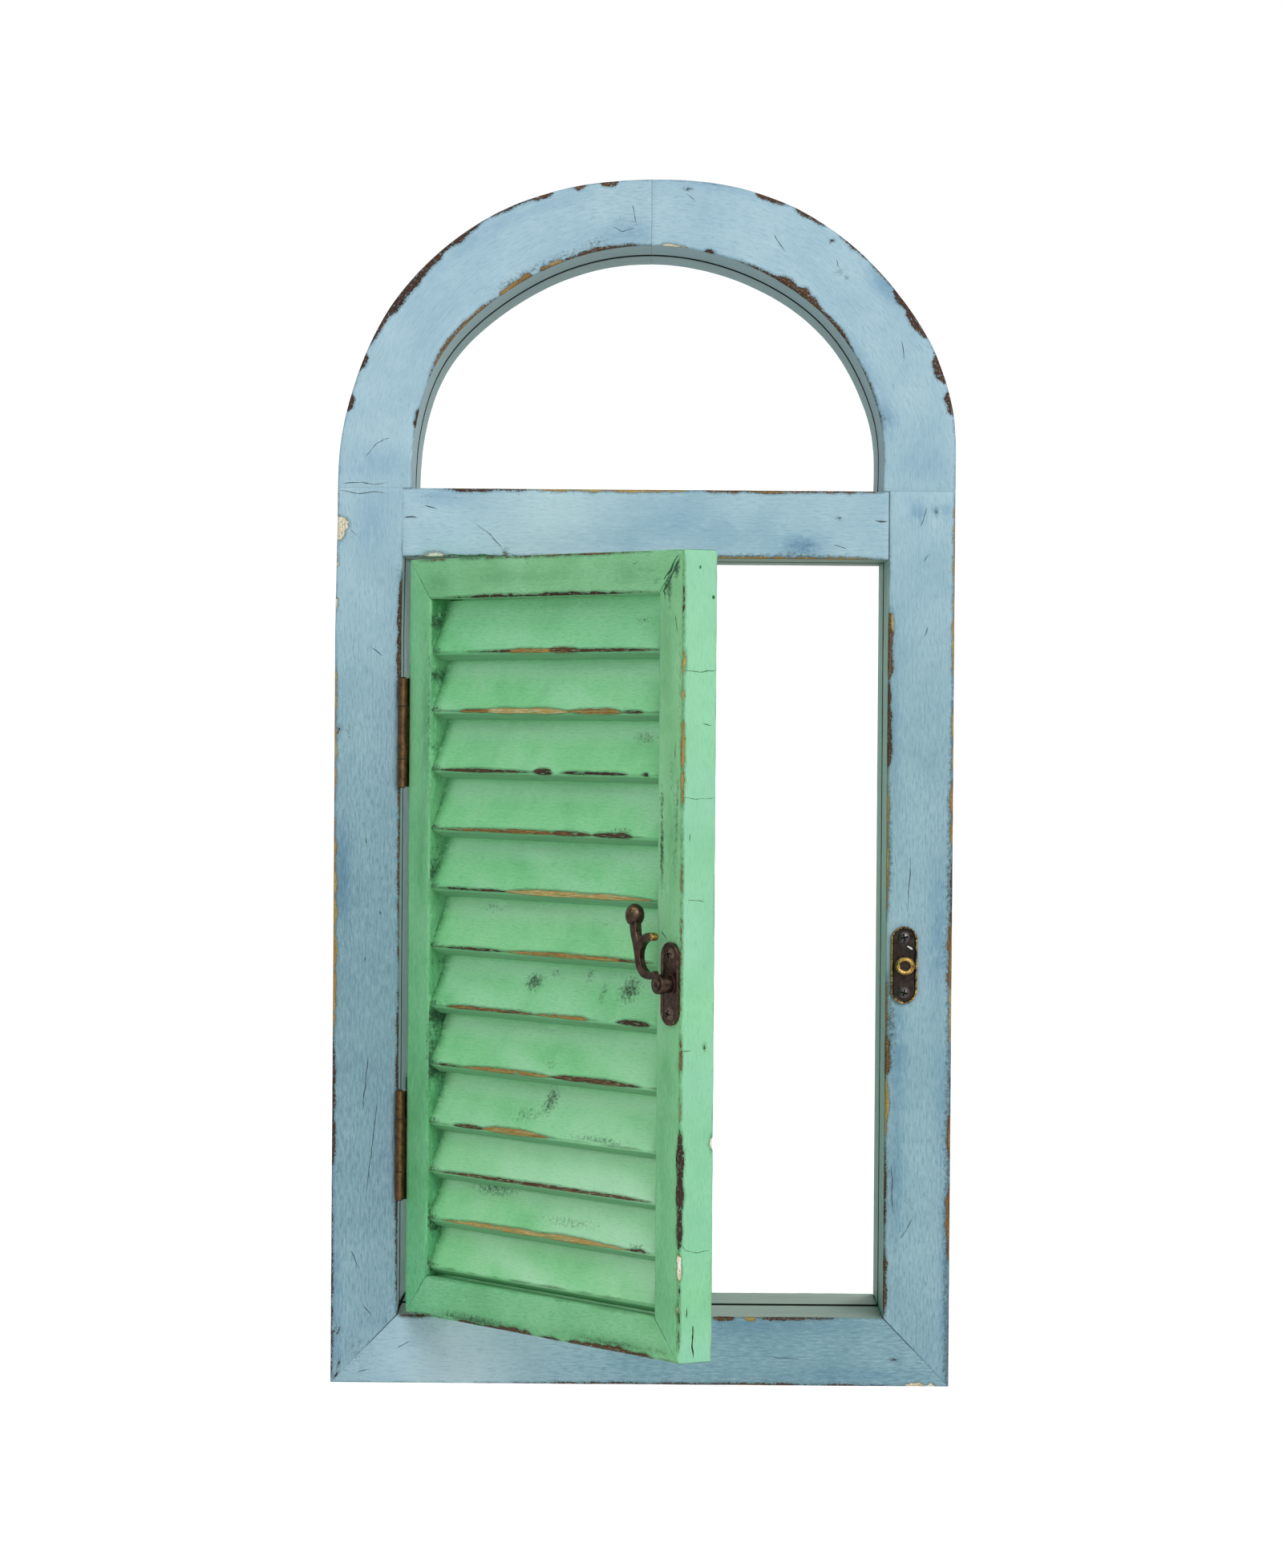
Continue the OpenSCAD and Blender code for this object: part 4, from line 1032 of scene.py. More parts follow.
def right_arch(section, edges):
    m = Member("arch_right_wood", "frame", section, arch_place(1), ARCH_SPAN, edges, 6)
    m.rub("outer", (arc(66), arc(73), 1.9, 0.80), (arc(57.5), arc(65), 1.6, 0.80),
          (arc(47), arc(54.5), 1.0, 0.78), (arc(27.5), arc(40), 2.6, 0.82),
          (arc(18.5), arc(24.5), 3.0, 0.82), (arc(12), arc(17), 2.2, 0.82), (arc(40), arc(47), 0.6, 0.5))
    m.rub("inner", (arc(33), arc(72), 1.5, 0.76), (arc(47), arc(62), 2.9, 0.74),
          (arc(77), arc(80), 1.2, 0.85), (arc(84), arc(91), 1.1, 0.16), (arc(12), arc(33), 0.6, 0.7))
    m.spot((arc(55), 4, 0.8, 0.8, 0.95), (arc(48), 12, 0.7, 0.7, 0.95), (arc(49.5), 11, 0.6, 0.6, 0.95),
           (arc(50.5), 13.5, 0.5, 0.5, 0.95), (arc(86), 4, 1.0, 0.5, 0.9))
    m.stain((arc(41), 2, 7, 3, 0.20), (arc(15), 28, 7, 2.5, 0.3), (arc(60), 25, 20, 2, 0.2),
            (arc(48), 12, 6, 5, 0.16))
    m.tint((arc(41), 2, 11, 5, 0.9), (arc(15), 27.5, 12, 5, 0.8), (arc(80), 1.5, 20, 2.5, 0.5),
           (arc(3), 15, 8, 12, 0.3), (arc(30), 28, 20, 3, 0.5))
    m.shade((0, 0.15), (arc(20), 0.12), (arc(60), 0.05), (arc(90), 0.1))
    m.seams = (0.08, 0.35)
    m.extra = {"seam": mirror_gap_shadow(STILE_W), "old_coat": reveal_amount(STILE_W, 0.28),
               # Painted shade on the arch's underside, growing towards the crown.
               "shade": lambda t, u, v: reveal_amount(STILE_W, 0.30)(t, u, v) * smooth(t, arc(30), arc(70))}
    return m


def make_blue_members():
    section, edges = frame_section(STILE_W), arrises(STILE_W, DEPTH, BOARD_STEP)
    made = {"stile_left": left_stile(section, edges), "stile_right": right_stile(section, edges),
            "bottom_rail": foot_rail(), "transom_rail": transom(),
            "arch_left": left_arch(section, edges), "arch_right": right_arch(section, edges)}
    for node, member in made.items():
        if node != "transom_rail":
            member.raw_from = DEPTH - 0.8
    built = {node: member.build(BLUE, "blue_paint", node) for node, member in made.items()}
    cut_hanger_pocket(built["arch_left"], built["arch_right"])
    mark_frame(made)


def cut_hanger_pocket(*arches):
    """Lets the hanging plate and its keyhole into the back of the arch."""
    low, high = box_mm("hanging_plate")
    middle = (low + high) / 2
    slot_low, slot_high, keyhole_r, deep = middle[2] - 1.5, middle[2] + 3.4, 4.5, 6.0
    plate = (high - low + (0.2, 4, 0.2), middle + (0, 2, 0))
    keyhole = ((2 * keyhole_r, deep + 2, slot_high - slot_low + 2 * keyhole_r),
               (0, low[1] - deep / 2 + 1, (slot_low + slot_high) / 2))
    work = bmesh.new()
    for size, place in (plate, keyhole):
        spot = Matrix.Translation(Vector(place) / METRE) @ Matrix.Diagonal((*(Vector(size) / METRE), 1))
        bmesh.ops.create_cube(work, size=1.0, matrix=spot)
    cutter = object_of("pocket", work)
    for obj in arches:
        cut = obj.modifiers.new("pocket", "BOOLEAN")
        cut.object, cut.operation, cut.solver, cut.use_self = cutter, "DIFFERENCE", "EXACT", True
        settle(obj)
    bpy.data.objects.remove(cutter)


# Cracks and scratches on the front of each member, as (width, (t, across), ...).
FRAME_CRACKS = {
    "stile_left": [
        (0.35, (149, 16.3), (123, 13.9)), (0.3, (129.6, 20.8), (108, 18.4), (86.4, 15.7)),
        (0.5, (247, 14.3), (244, 14.6)), (0.5, (193, 14.4), (190.6, 14.2)), (0.5, (214, 21), (212, 21.4)),
        (0.35, (333, 16), (329, 22)), (0.3, (403.6, 1), (402.2, 9), (403.2, 16), (402.6, 22)),
        (0.28, (386, 6), (383, 9)), (0.3, (60, 9), (52, 12.5)), (0.3, (36, 14), (30, 19))],
    "stile_right": [
        (0.4, (76, 17), (67, 22.4)), (0.35, (100, 26.6), (78, 25.9)), (0.35, (377, 12), (373, 14)),
        (0.3, (344, 12), (339, 13.5)), (0.3, (240, 19), (215, 20.2)), (0.28, (398, 13), (389, 15.5))],
    "transom_rail": [
        (0.75, (-109, 13.4), (-103.6, 13.2), (-103.2, 13.5)), (0.7, (103.6, 13.3), (109.4, 13.7)),
        (0.3, (-77, 16), (-70, 21), (-64, 28)), (0.3, (-100, 8), (-94, 9.5)), (0.25, (85, 24), (91, 26))],
    "arch_left": [
        (0.35, (1.6, 2), (2.6, 9), (1.2, 15), (2.2, 21)), (0.3, (14, 11), (21, 15), (24, 20)),
        (0.3, (arc(84), 20), (arc(86), 23), (arc(89), 22)), (0.3, (arc(89), 11), (arc(89.6), 20))],
    "arch_right": [
        (0.3, (arc(86), 6), (arc(84), 9)), (0.28, (arc(66), 14), (arc(62), 18)),
        (0.25, (arc(30), 10), (arc(26), 13)), (0.3, (arc(52), 9), (arc(50.6), 11))],
    "bottom_rail": [
        (0.3, (-110, 16), (-104, 19)), (0.25, (60, 13), (72, 12)), (0.3, (-128, 5), (-122, 6))]}
TRANSOM_SMEAR = [(0.9, (-90, 30.2), (-76, 30.5), (-62, 30.3)), (0.5, (-60, 30.6), (-30, 30.7))]


def mark_frame(made):
    """Cracks, scratches and a green smear on the frame's front."""
    draw_lines("green_smear", GREEN_CRACK, "frame", "blue_paint",
               made["transom_rail"].lines("front", *TRANSOM_SMEAR))
    draw_lines("frame_cracks", CRACK, "frame", "blue_paint",
               *[made[node].lines("front", *paths) for node, paths in FRAME_CRACKS.items()])


# ------------------------------------------------------------- green members

def opened(place):
    """Swings what place draws shut to where the shutter stands."""
    def swung(t, u, v):
        x, y, z = place(t, u, v)
        x, y = swing(x, y, OPEN)
        return x, y, z
    return swung


UPRIGHT, LEVEL = (SH_LOW, SH_TOP), (-SH_HALF, SH_HALF)


def shutter_stick(name, section, place, span, seed):
    return Mitred(name, "shutter", section, opened(place), span, arrises(SH_W, SH_T), seed)


def inner_dirt_and_shade(seed, least, most):
    """Dirt and painted shade on the face that looks at the louvers, in uneven patches."""
    def amount(t, u, v):
        patches = least + (most - least) * np.clip(wobble(t, seed, 8.0), 0, 1)
        return patches * ((u > SH_W - 0.6) & (v > 0.8))
    return amount


def hinge_stile(section):
    m = shutter_stick("shutter_stile_hinge_wood", section,
                      lambda t, u, v: (u - SH_HALF, SH_FRONT + v, t), UPRIGHT, 11)
    m.rub("outer", (330, 290, 0.3, 0.85), (230, 120, 0.5, 0.8))
    m.stain((300, 17, 50, 1.6, 0.34), (338, 14, 8, 1.4, 0.35), (150, 17, 60, 1.4, 0.3),
            (262, 6, 16, 7, 0.10))
    m.tint((300, 15, 40, 5, 0.6), (110, 8, 60, 9, 0.35), (240, 12, 30, 6, 0.4))
    m.shade((32, 0.85), (80, 0.66), (200, 0.42), (280, 0.36), (372, 0.36))
    m.extra = {"stain": inner_dirt_and_shade(7, 0.15, 0.75), "tint": inner_dirt_and_shade(8, 0.5, 1.0)}
    return m


def latch_stile(section):
    m = shutter_stick("shutter_stile_latch_wood", section,
                      lambda t, u, v: (SH_HALF - u, SH_FRONT + v, t), UPRIGHT, 12)
    m.rub("outer", (372, 330, 0.45, 0.76), (334, 300, 0.8, 0.36), (305, 262, 1.0, 0.46),
          (262, 172, 0.6, 0.52), (172, 150, 0.8, 0.64), (150, 132, 0.6, 0.5), (133, 78, 2.0, 0.92),
          (79, 73, 1.8, 0.05), (74, 66, 1.2, 0.12), (67, 36, 0.8, 0.90))
    m.rub("back_outer", (127, 121, 1.9, 0.03))
    m.spot((55, 1.2, 1.2, 0.8, 0.14))
    m.spot((124, 16.4, 2.4, 1.0, 0.02), (326, 0.8, 3.0, 0.8, 0.34), (164.5, 12.5, 0.9, 0.5, 0.95),
           face="outer")
    m.stain((366, 5, 5, 3, 0.6), (358, 12, 5, 3, 0.6), (262, 4, 26, 1.8, 0.50), (246, 14.5, 20, 1.6, 0.75),
            (268, 15.2, 9, 1.2, 0.55), (205, 3, 16, 1.4, 0.4), (320, 2.4, 30, 1.4, 0.34),
            (354, 10, 9, 1.6, 0.42), (365, 5, 6, 1.4, 0.42), (280, 8, 14, 2.0, 0.30),
            (240, 6, 10, 1.6, 0.3), (60, 3, 16, 1.2, 0.24))
    m.tint((330, 12, 30, 6, 0.4), (250, 8, 40, 6, 0.35), (120, 12, 60, 6, 0.3))
    m.shade((32, 0.46), (100, 0.40), (190, 0.12), (300, 0.0), (372, 0.0))
    m.shaded = lambda u, v: 1.0 - 0.65 * (u < 0.8)
    m.extra = {"stain": inner_dirt_and_shade(9, 0.0, 0.3),
               "pale": lambda t, u, v: (0.42 + 0.20 * wobble(t, 4, 30.0)) * ((u < 0.8) & (v > 0.7)),
               "old_coat": lambda t, u, v: 0.10 * ((u < 0.8) & (v > 0.7))}
    return m


def top_rail(section):
    m = shutter_stick("shutter_rail_top_wood", section,
                      lambda t, u, v: (t, SH_FRONT + v, SH_TOP - u), LEVEL, 13)
    m.rub("outer", (-100, -76, 0.8, 0.6), (-76, 85, 0.8, 0.66))
    # The dark line along the inner arris is worn wood and partly a painted shadow under the rail.
    m.rub("inner", (-88, 88, 1.1, 0.90))
    m.stain((-36, 13.4, 40, 0.9, 0.50), (20, 13.8, 30, 0.8, 0.32), (80, 8, 12, 2, 0.26),
            (-10, 4, 1.0, 1.0, 0.8), (46, 6, 8, 3, 0.2), (88, 13, 5, 3, 0.35))
    m.tint((-20, 9, 50, 4, 0.35), (70, 10, 20, 6, 0.4), (-84, 12, 12, 6, 0.4))
    m.shade((-108, 0.2), (0, 0.05), (108, 0.2))
    return m


def low_rail(section):
    m = shutter_stick("shutter_rail_bottom_wood", section,
                      lambda t, u, v: (t, SH_FRONT + v, SH_LOW + u), LEVEL, 14)
    m.rub("outer", (-106, -70, 0.7, 0.66), (-66, -28, 1.3, 0.84), (-34, -2, 2.2, 0.76), (0, 20, 1.0, 0.85),
          (22, 92, 2.4, 0.74), (92, 108, 0.4, 0.8))
    m.stain((-50, 2.4, 40, 2.2, 0.62), (58, 4.0, 40, 1.6, 0.55), (96, 4, 8, 1.6, 0.3))
    m.tint((-40, 2, 50, 3, 0.6), (60, 4, 45, 3, 0.6))
    m.shade((-108, 0.60), (0, 0.40), (108, 0.25))
    return m


# Marks on the latch stile and the top rail, given like the frame's.
LATCH_SIDE_CRACKS = [
    (1.3, (366.0, 8.4), (364.4, 8.0)), (1.2, (353.6, 15.3), (351.8, 15.1)),
    (0.3, (322, 0.5), (321.5, 9), (322.3, 17)), (0.22, (269, 0.5), (268.4, 8), (269, 17)),
    (0.25, (163, 0.5), (163.4, 6)), (0.22, (84, 0.2), (80, 3), (78.6, 8), (79.2, 16)),
    (0.55, (253.8, 4.2), (250.8, 4.1)), (0.3, (300, 10), (299, 15)), (0.25, (226, 3), (225.6, 12))]
LATCH_FRONT_CRACKS = [
    (1.0, (368.6, 2.6), (365.4, 4.9), (362.2, 8.6), (358.4, 11.4), (354.6, 15.2)),
    (0.8, (355.8, 14.4), (353.4, 13.2), (351.6, 13.8)), (0.4, (345, 6), (338, 4.4)),
    (0.4, (292, 5), (285, 5.6)), (0.35, (213, 14.6), (209, 10)), (0.3, (208, 8), (204, 12))]
TOP_RAIL_CRACKS = [
    (0.9, (SH_HALF - 3.6, 2.2), (SH_HALF - 7.2, 5.2), (SH_HALF - 9.8, 8.8), (SH_HALF - 14.6, 12.6)),
    (0.4, (70, 5.4), (74, 4.8))]
LATCH_SLITS = [(0.5, (56, 4.2), (51.4, 4.0)), (0.75, (48.4, 7.4), (41, 7.2), (34.6, 7.6))]


def make_green_members():
    corners = [(0, 0), (SH_W, 0), (SH_W, SH_T), (0, SH_T)]
    section = round_section(corners, [1.0, 0.9, 0.7, 0.8], 1.7)
    made = {"shutter_stile_hinge": hinge_stile(section), "shutter_stile_latch": latch_stile(section),
            "shutter_rail_top": top_rail(section), "shutter_rail_bottom": low_rail(section)}
    for node, member in made.items():
        member.build(GREEN, "green_paint", node)
    latch, top = made["shutter_stile_latch"], made["shutter_rail_top"]
    draw_lines("shutter_cracks", GREEN_CRACK, "shutter", "green_paint",
               latch.lines("side", *LATCH_SIDE_CRACKS), latch.lines("front", *LATCH_FRONT_CRACKS),
               top.lines("front", *TOP_RAIL_CRACKS))
    draw_lines("shutter_slits", CRACK_AND_GAP_SHADE, "shutter", "green_paint", latch.lines("side", *LATCH_SLITS))
    painted_nails("shutter_nails", "shutter", "green_paint", GREEN_NAIL, "shutter_corner_nails",
                  SHUTTER_NAILS)


# Wear on the lower front arris of each louver, as (from, to, width, tone) with
# the first two measured from the hinge side of the shutter's field.
LOUVER_WEAR = [
    [(28, 180, 0.8, 0.76), (58, 100, 1.3, 0.44), (92, 120, 1.5, 0.70)],
    [(22, 60, 1.2, 0.56), (42, 112, 2.0, 0.28), (108, 152, 1.7, 0.50), (150, 168, 0.7, 0.8)],
    [(4, 80, 1.1, 0.78), (82, 98, 1.8, 0.86), (104, 156, 1.0, 0.92), (166, 172, 1.0, 0.9)],
    [(5, 120, 1.1, 0.56), (92, 130, 1.5, 0.70), (128, 160, 1.8, 0.82)],
    [(5, 64, 0.7, 0.86), (58, 176, 1.8, 0.30)],
    [(5, 62, 0.7, 0.84), (60, 170, 1.3, 0.46), (130, 176, 1.0, 0.66)],
    [(12, 86, 1.4, 0.60), (84, 128, 1.2, 0.42), (148, 174, 1.6, 0.82)],
    [(5, 28, 0.6, 0.85), (24, 100, 1.2, 0.46), (98, 168, 1.6, 0.70)],
    [(20, 46, 0.9, 0.80), (42, 98, 1.7, 0.42)],
    [(4, 176, 1.1, 0.70)],
    [(10, 160, 1.8, 0.34), (158, 172, 0.9, 0.8)],
    [],
]
# Speckled scuffs on the louvers' faces, as (louver, along, up, half sizes, amount),
# and how strongly the amounts show.
SCUFFED = 1.4
LOUVER_SCUFFS = [
    (1, 160, 14, 12, 3, 0.24), (1, 20, 8, 14, 3, 0.12), (3, 160, 17, 12, 4, 0.30), (6, 40, 20, 22, 3, 0.20),
    (6, 128, 16, 16, 2, 0.20), (7, 77, 15, 9, 5.5, 0.46), (7, 92, 20, 6, 2, 0.34), (7, 118, 20, 5, 4, 0.32),
    (7, 132, 13, 3, 7, 0.32), (7, 151, 15, 10, 7.5, 0.46), (9, 90, 17, 7, 8, 0.40), (9, 74, 9, 16, 5, 0.24),
    (9, 135, 2, 30, 1.8, 0.35), (11, 45, 18, 26, 5, 0.34), (11, 110, 8, 34, 3, 0.26),
    (11, 165, 2, 8, 2, 0.35), (4, 150, 3, 14, 2, 0.32), (8, 96, 6, 6, 5, 0.22), (10, 150, 6, 20, 1.6, 0.14),
    (5, 150, 12, 20, 3, 0.10)]
# How much painted shade darkens each louver, from the top down, most under the top rail.
LOUVER_SHADE = [0.34, 0.20, 0.16, 0.18, 0.24, 0.08, 0.20, 0.12, 0.08, 0.0, 0.0, 0.0]


def louver_member(number):
    """One louver: u runs up its face from the lower arris, v runs into it."""
    low, high = shut_box(LOUVERS[number])
    c, s = math.cos(LOUVER_LEAN), math.sin(LOUVER_LEAN)
    face = (high[1] - low[1] - LOUVER_T * c) / s
    arris_y, arris_z = low[1], high[2] - face * c

    def place(t, u, v):
        return t, arris_y + u * s + v * c, arris_z + u * c - v * s

    corners = [(0, 0), (face, 0), (face, LOUVER_T), (-LOUVER_NOSE, LOUVER_T)]
    edges = {"lower": lambda u, v: np.abs(u) + v,
             "back": lambda u, v: np.abs(u + LOUVER_NOSE) + LOUVER_T - v}
    m = Member(LOUVERS[number] + "_slat", "shutter", round_section(corners, [0.6, 0.5, 0.5, 0.6], 1.9),
               opened(place), (low[0], high[0]), edges, 20 + number)
    m.rub("lower", *[(start - FIELD_HALF, stop - FIELD_HALF, width, tone)
                     for start, stop, width, tone in LOUVER_WEAR[number]])
    m.stain(*[(t - FIELD_HALF, u, rt, ru, SCUFFED * amount)
              for which, t, u, rt, ru, amount in LOUVER_SCUFFS if which == number + 1])
    # Dirt and painted shade at the ends, where the louver meets the stiles, and a narrow deeper band near the
    # top, a painted shade under the louver above.
    m.stain((-FIELD_HALF, 12, 3.5, 14, 0.40), (-FIELD_HALF + 3, 1, 7, 2.0, 0.5))
    m.tint((-FIELD_HALF, 12, 6, 20, 0.9), (FIELD_HALF, 8, 5, 14, 0.5),
           (40 * math.sin(number * 2.3), 22, 60, 3.0, 0.25))
    m.wave = (17.0, 0.25)
    m.shade((0, LOUVER_SHADE[number]))
    right_end_light = 0.42 if number > 7 else 0.1

    # Painted light: paler along the top of the face, against the shade of the louver above, and towards the
    # right end of the lower louvers, over paler patches of paint.
    def pale(t, u, v):
        patches = np.clip(0.32 * wobble(t + 3 * u, number, 40.0) + right_end_light * smooth(t, -80, 60), 0, 1)
        return (patches * smooth(u, 26, 6) + 0.55 * smooth(u, 12, 22)) * (v < 1)

    # The nose's underside takes the older coat's darker colour, a painted shade under the louver.
    m.extra = {"old_coat": lambda t, u, v: 0.8 * ((v > 1.0) & (u < 1.5) & (v < LOUVER_T)), "pale": pale}
    return m


def make_louvers():
    for number, node in enumerate(LOUVERS):
        louver_member(number).build(SLAT_GREEN, "green_paint", node)


# --------------------------------------------------------------------- metal

GREEN_NAIL = mottled("painted_green_nail", colour(120, 184, 132), colour(150, 208, 160), 0.9, 0.6)
BLUE_NAIL = mottled("painted_blue_nail", colour(134, 164, 178), colour(160, 190, 203), 0.9, 0.6)
# The latch as in the CAD: its height, the middles of its two plates and their screws,
# and the raised arm, whose hook has its bay BAY_REACH from the rivet.
LATCH_H, RIVET_X, PEG_X = 191.0, SH_HALF - 6.3, OPEN_HALF + 8.3
PLATE_HALF_W, PLATE_HALF_L, PLATE_T, SCREW_REACH = 6.0, 17.5, 1.2, 12.5
ARM_RAISE, BAY_REACH, KNOB_X = math.radians(119), 12.9, -17.0
BAY = (BAY_REACH * math.cos(ARM_RAISE), BAY_REACH * math.sin(ARM_RAISE))
# How much the arm is filled out, and how much taller and lower its knob is set.
ARM_SWELL, KNOB_TALLER, KNOB_DROP = 0.45, 0.9, 2.2
# Nail heads show as flat domes, sunk into the paint. The hinges' dark rings, a painted shadow in the
# knuckles' gaps, are thin discs.
NAIL_R, NAIL_SUNK, NAIL_FLAT = 1.3, 0.25, 0.19
RING_R, RING_T = 2.3, 0.5
SHUTTER_NAILS = [(SH_HALF, SH_FRONT + SH_T / 2, z) for z in (SH_LOW + 7.5, SH_TOP - 7.5)]
FOOT_NAILS = [(side * HALF_W, y, 10.0) for side in (-1, 1) for y in (FRONT + 14.0, BACK - 14.0)]


def hinge_gap_shadows():
    """Dark lines where the knuckles of a hinge meet, a painted shadow in the gaps between them."""
    work = bmesh.new()
    for which in ("top", "bottom"):
        leaf = shut_points(frame["nodes"][f"hinge_{which}_shutter_leaf"].data)
        knuckle = leaf[np.hypot(leaf[:, 0] - PIN_X, leaf[:, 1] - PIN_Y) < RING_R]
        for z in (knuckle[:, 2].min(), knuckle[:, 2].max()):
            spot = Matrix.Translation(Vector((PIN_X, PIN_Y, z)) / METRE)
            bmesh.ops.create_cone(work, cap_ends=True, segments=32, radius1=RING_R / METRE,
                                  radius2=RING_R / METRE, depth=RING_T / METRE, matrix=spot)
    dress(object_of("hinge_gap_shadows", work), CRACK_AND_GAP_SHADE, "frame", "bronze")


def painted_nails(name, body, slot, material, node, places):
    """Low domed nail heads under the paint, standing just proud of a side face."""
    work = bmesh.new()
    for x, y, z in places:
        if body == "shutter":
            outward = Vector((math.cos(-OPEN), math.sin(-OPEN), 0))
            x, y = swing(x, y, OPEN)
        else:
            outward = Vector((math.copysign(1, x), 0, 0))
        turn = outward.to_track_quat("Z", "Y").to_matrix().to_4x4()
        spot = Matrix.Translation((Vector((x, y, z)) - outward * NAIL_SUNK) / METRE) @ turn
        bmesh.ops.create_uvsphere(work, u_segments=24, v_segments=12, radius=NAIL_R / METRE,
                                  matrix=spot @ Matrix.Diagonal((1, 1, NAIL_FLAT, 1)))
    obj = object_of(name, work)
    shade_smooth(obj.data)
    dress(obj, material, body, slot, node)


def recast(node, material, voxel, rounds, rub=None, shape=None):
    """The CAD solid again, with its edges rounded as on a small casting."""
    source = frame["nodes"][node]
    mesh = source.data.copy()
    work = bmesh.new()
    work.from_mesh(mesh)
    bmesh.ops.remove_doubles(work, verts=work.verts, dist=1e-6)
    work.to_mesh(mesh)
    work.free()
    obj = new_object(node + "_cast", mesh)
    remesh = obj.modifiers.new("remesh", "REMESH")
    remesh.mode, remesh.voxel_size = "VOXEL", voxel / METRE
    rounding = obj.modifiers.new("smooth", "SMOOTH")
    rounding.factor, rounding.iterations = 0.5, rounds
    settle(obj)
    shade_smooth(obj.data)
    if shape:
        normals = np.empty(len(obj.data.vertices) * 3)
        obj.data.vertices.foreach_get("normal", normals)
        normals = normals.reshape(-1, 3)
        grown = mesh_points(obj.data) + shape(obj.data, normals)
        obj.data.vertices.foreach_set("co", (grown / METRE).ravel())
        obj.data.update()
    if rub:
        put_values(obj, "rub", rub(obj.data))
    dress(obj, material, body_of(source)[0], "bronze", node)


def plate_coordinates(mesh, centre_x, on_shutter):
    """Across, along and above the front face, from a plate's centre."""
    points = shut_points(mesh) if on_shutter else mesh_points(mesh)
    return points[:, 0] - centre_x, points[:, 2] - LATCH_H, FRONT - points[:, 1]


def rim_rub(centre_x, on_shutter, amount):
    """Bright metal on the raised rim of a plate."""
    def rub(mesh):
        across, along, above = plate_coordinates(mesh, centre_x, on_shutter)
        end = np.clip(np.abs(along) - (PLATE_HALF_L - PLATE_HALF_W), 0, None)
        inside = PLATE_HALF_W - np.hypot(across, end)
        return amount * smooth(above, PLATE_T, PLATE_T + 0.45) * smooth(inside, 1.5, 0.6)
    return rub


def peg_rub(mesh):
    """Bright metal round the edge of the peg's button."""
    across, along, above = plate_coordinates(mesh, PEG_X, False)
    out, top = np.hypot(across, along), above.max()
    return 0.62 * smooth(above, top - 1.9, top - 0.5) * smooth(out, 1.5, 2.7)


def peg_shape(mesh, normals):
    """Fills out the rim of the button, most at its sides, but not its underside."""
    across, along, above = plate_coordinates(mesh, PEG_X, False)
    top = above.max()
    rim = smooth(above, top - 1.7, top - 1.0) * smooth(np.hypot(across, along), 2.6, 3.4)
    return normals * ((0.15 + 0.40 * normals[:, 0] ** 2) * rim)[:, None]


def arm_rub(mesh):
    """Bright rubbed metal on the hook's finger and the knob's front; on the knob it is partly a painted
    highlight.
    """
    across, along, above = plate_coordinates(mesh, RIVET_X, True)
    out = np.hypot(across, along)
    # The knob's bright patch lies on the side that faces front and towards the free edge, a painted highlight
    # as well as rubbed metal.
    facing = 0.57 * above + 0.82 * (across - KNOB_X)
    nearest = facing[out > 33].max()
    knob = smooth(out, 31, 35) * smooth(facing, nearest - 2.4, nearest - 0.3)
    tip = across[(out > 17) & (out < 24)].max()
    finger = smooth(out, 16, 18.4) * smooth(across, tip - 2.8, tip - 1.2) * smooth(out, 26, 22)
    return np.maximum(0.50 * knob, 0.60 * finger)


def arm_shape(mesh, normals):
    """Fills the arm out, clear of the hook's bay, and sets a taller knob lower."""
    across, along, _ = plate_coordinates(mesh, RIVET_X, True)
    out = np.hypot(across, along)
    knob = smooth(out, 30, 34) * KNOB_TALLER * normals[:, 2] ** 2
    clear = smooth(np.hypot(across - BAY[0], along - BAY[1]), 7.0, 9.0)
    full = ARM_SWELL * smooth(out, 8, 12) * clear + knob
    return normals * full[:, None] - np.outer(smooth(out, 21, 34), (0, 0, KNOB_DROP))


def screw_hollow_shade(node, centre_x, on_shutter):
    """Blackens the cross recesses of a plate's two screws, a painted shade in them."""
    obj = frame["nodes"][node]
    across, along, above = plate_coordinates(obj.data, centre_x, on_shutter)
    reach = np.hypot(across, np.abs(along) - SCREW_REACH)
    floor = (reach < 1.9) & (above > PLATE_T + 0.4) & (above < PLATE_T + 0.9)
    put_values(obj, "hollow_shade", floor.astype(float))


def soft_edges(node, width):
    """Keeps a CAD node and rounds its sharp edges with a bevel."""
    obj = frame["nodes"][node]
    shade_smooth(obj.data)
    bevel = obj.modifiers.new("soft_edges", "BEVEL")
    bevel.width, bevel.segments = width / METRE, 2
    bevel.limit_method, bevel.angle_limit = "ANGLE", math.radians(50)
    bevel.harden_normals = True


def give(material, *nodes):
    """Gives nodes that keep their CAD shape a material."""
    for node in nodes:
        data = frame["nodes"][node].data
        data.materials.clear()
        data.materials.append(material)


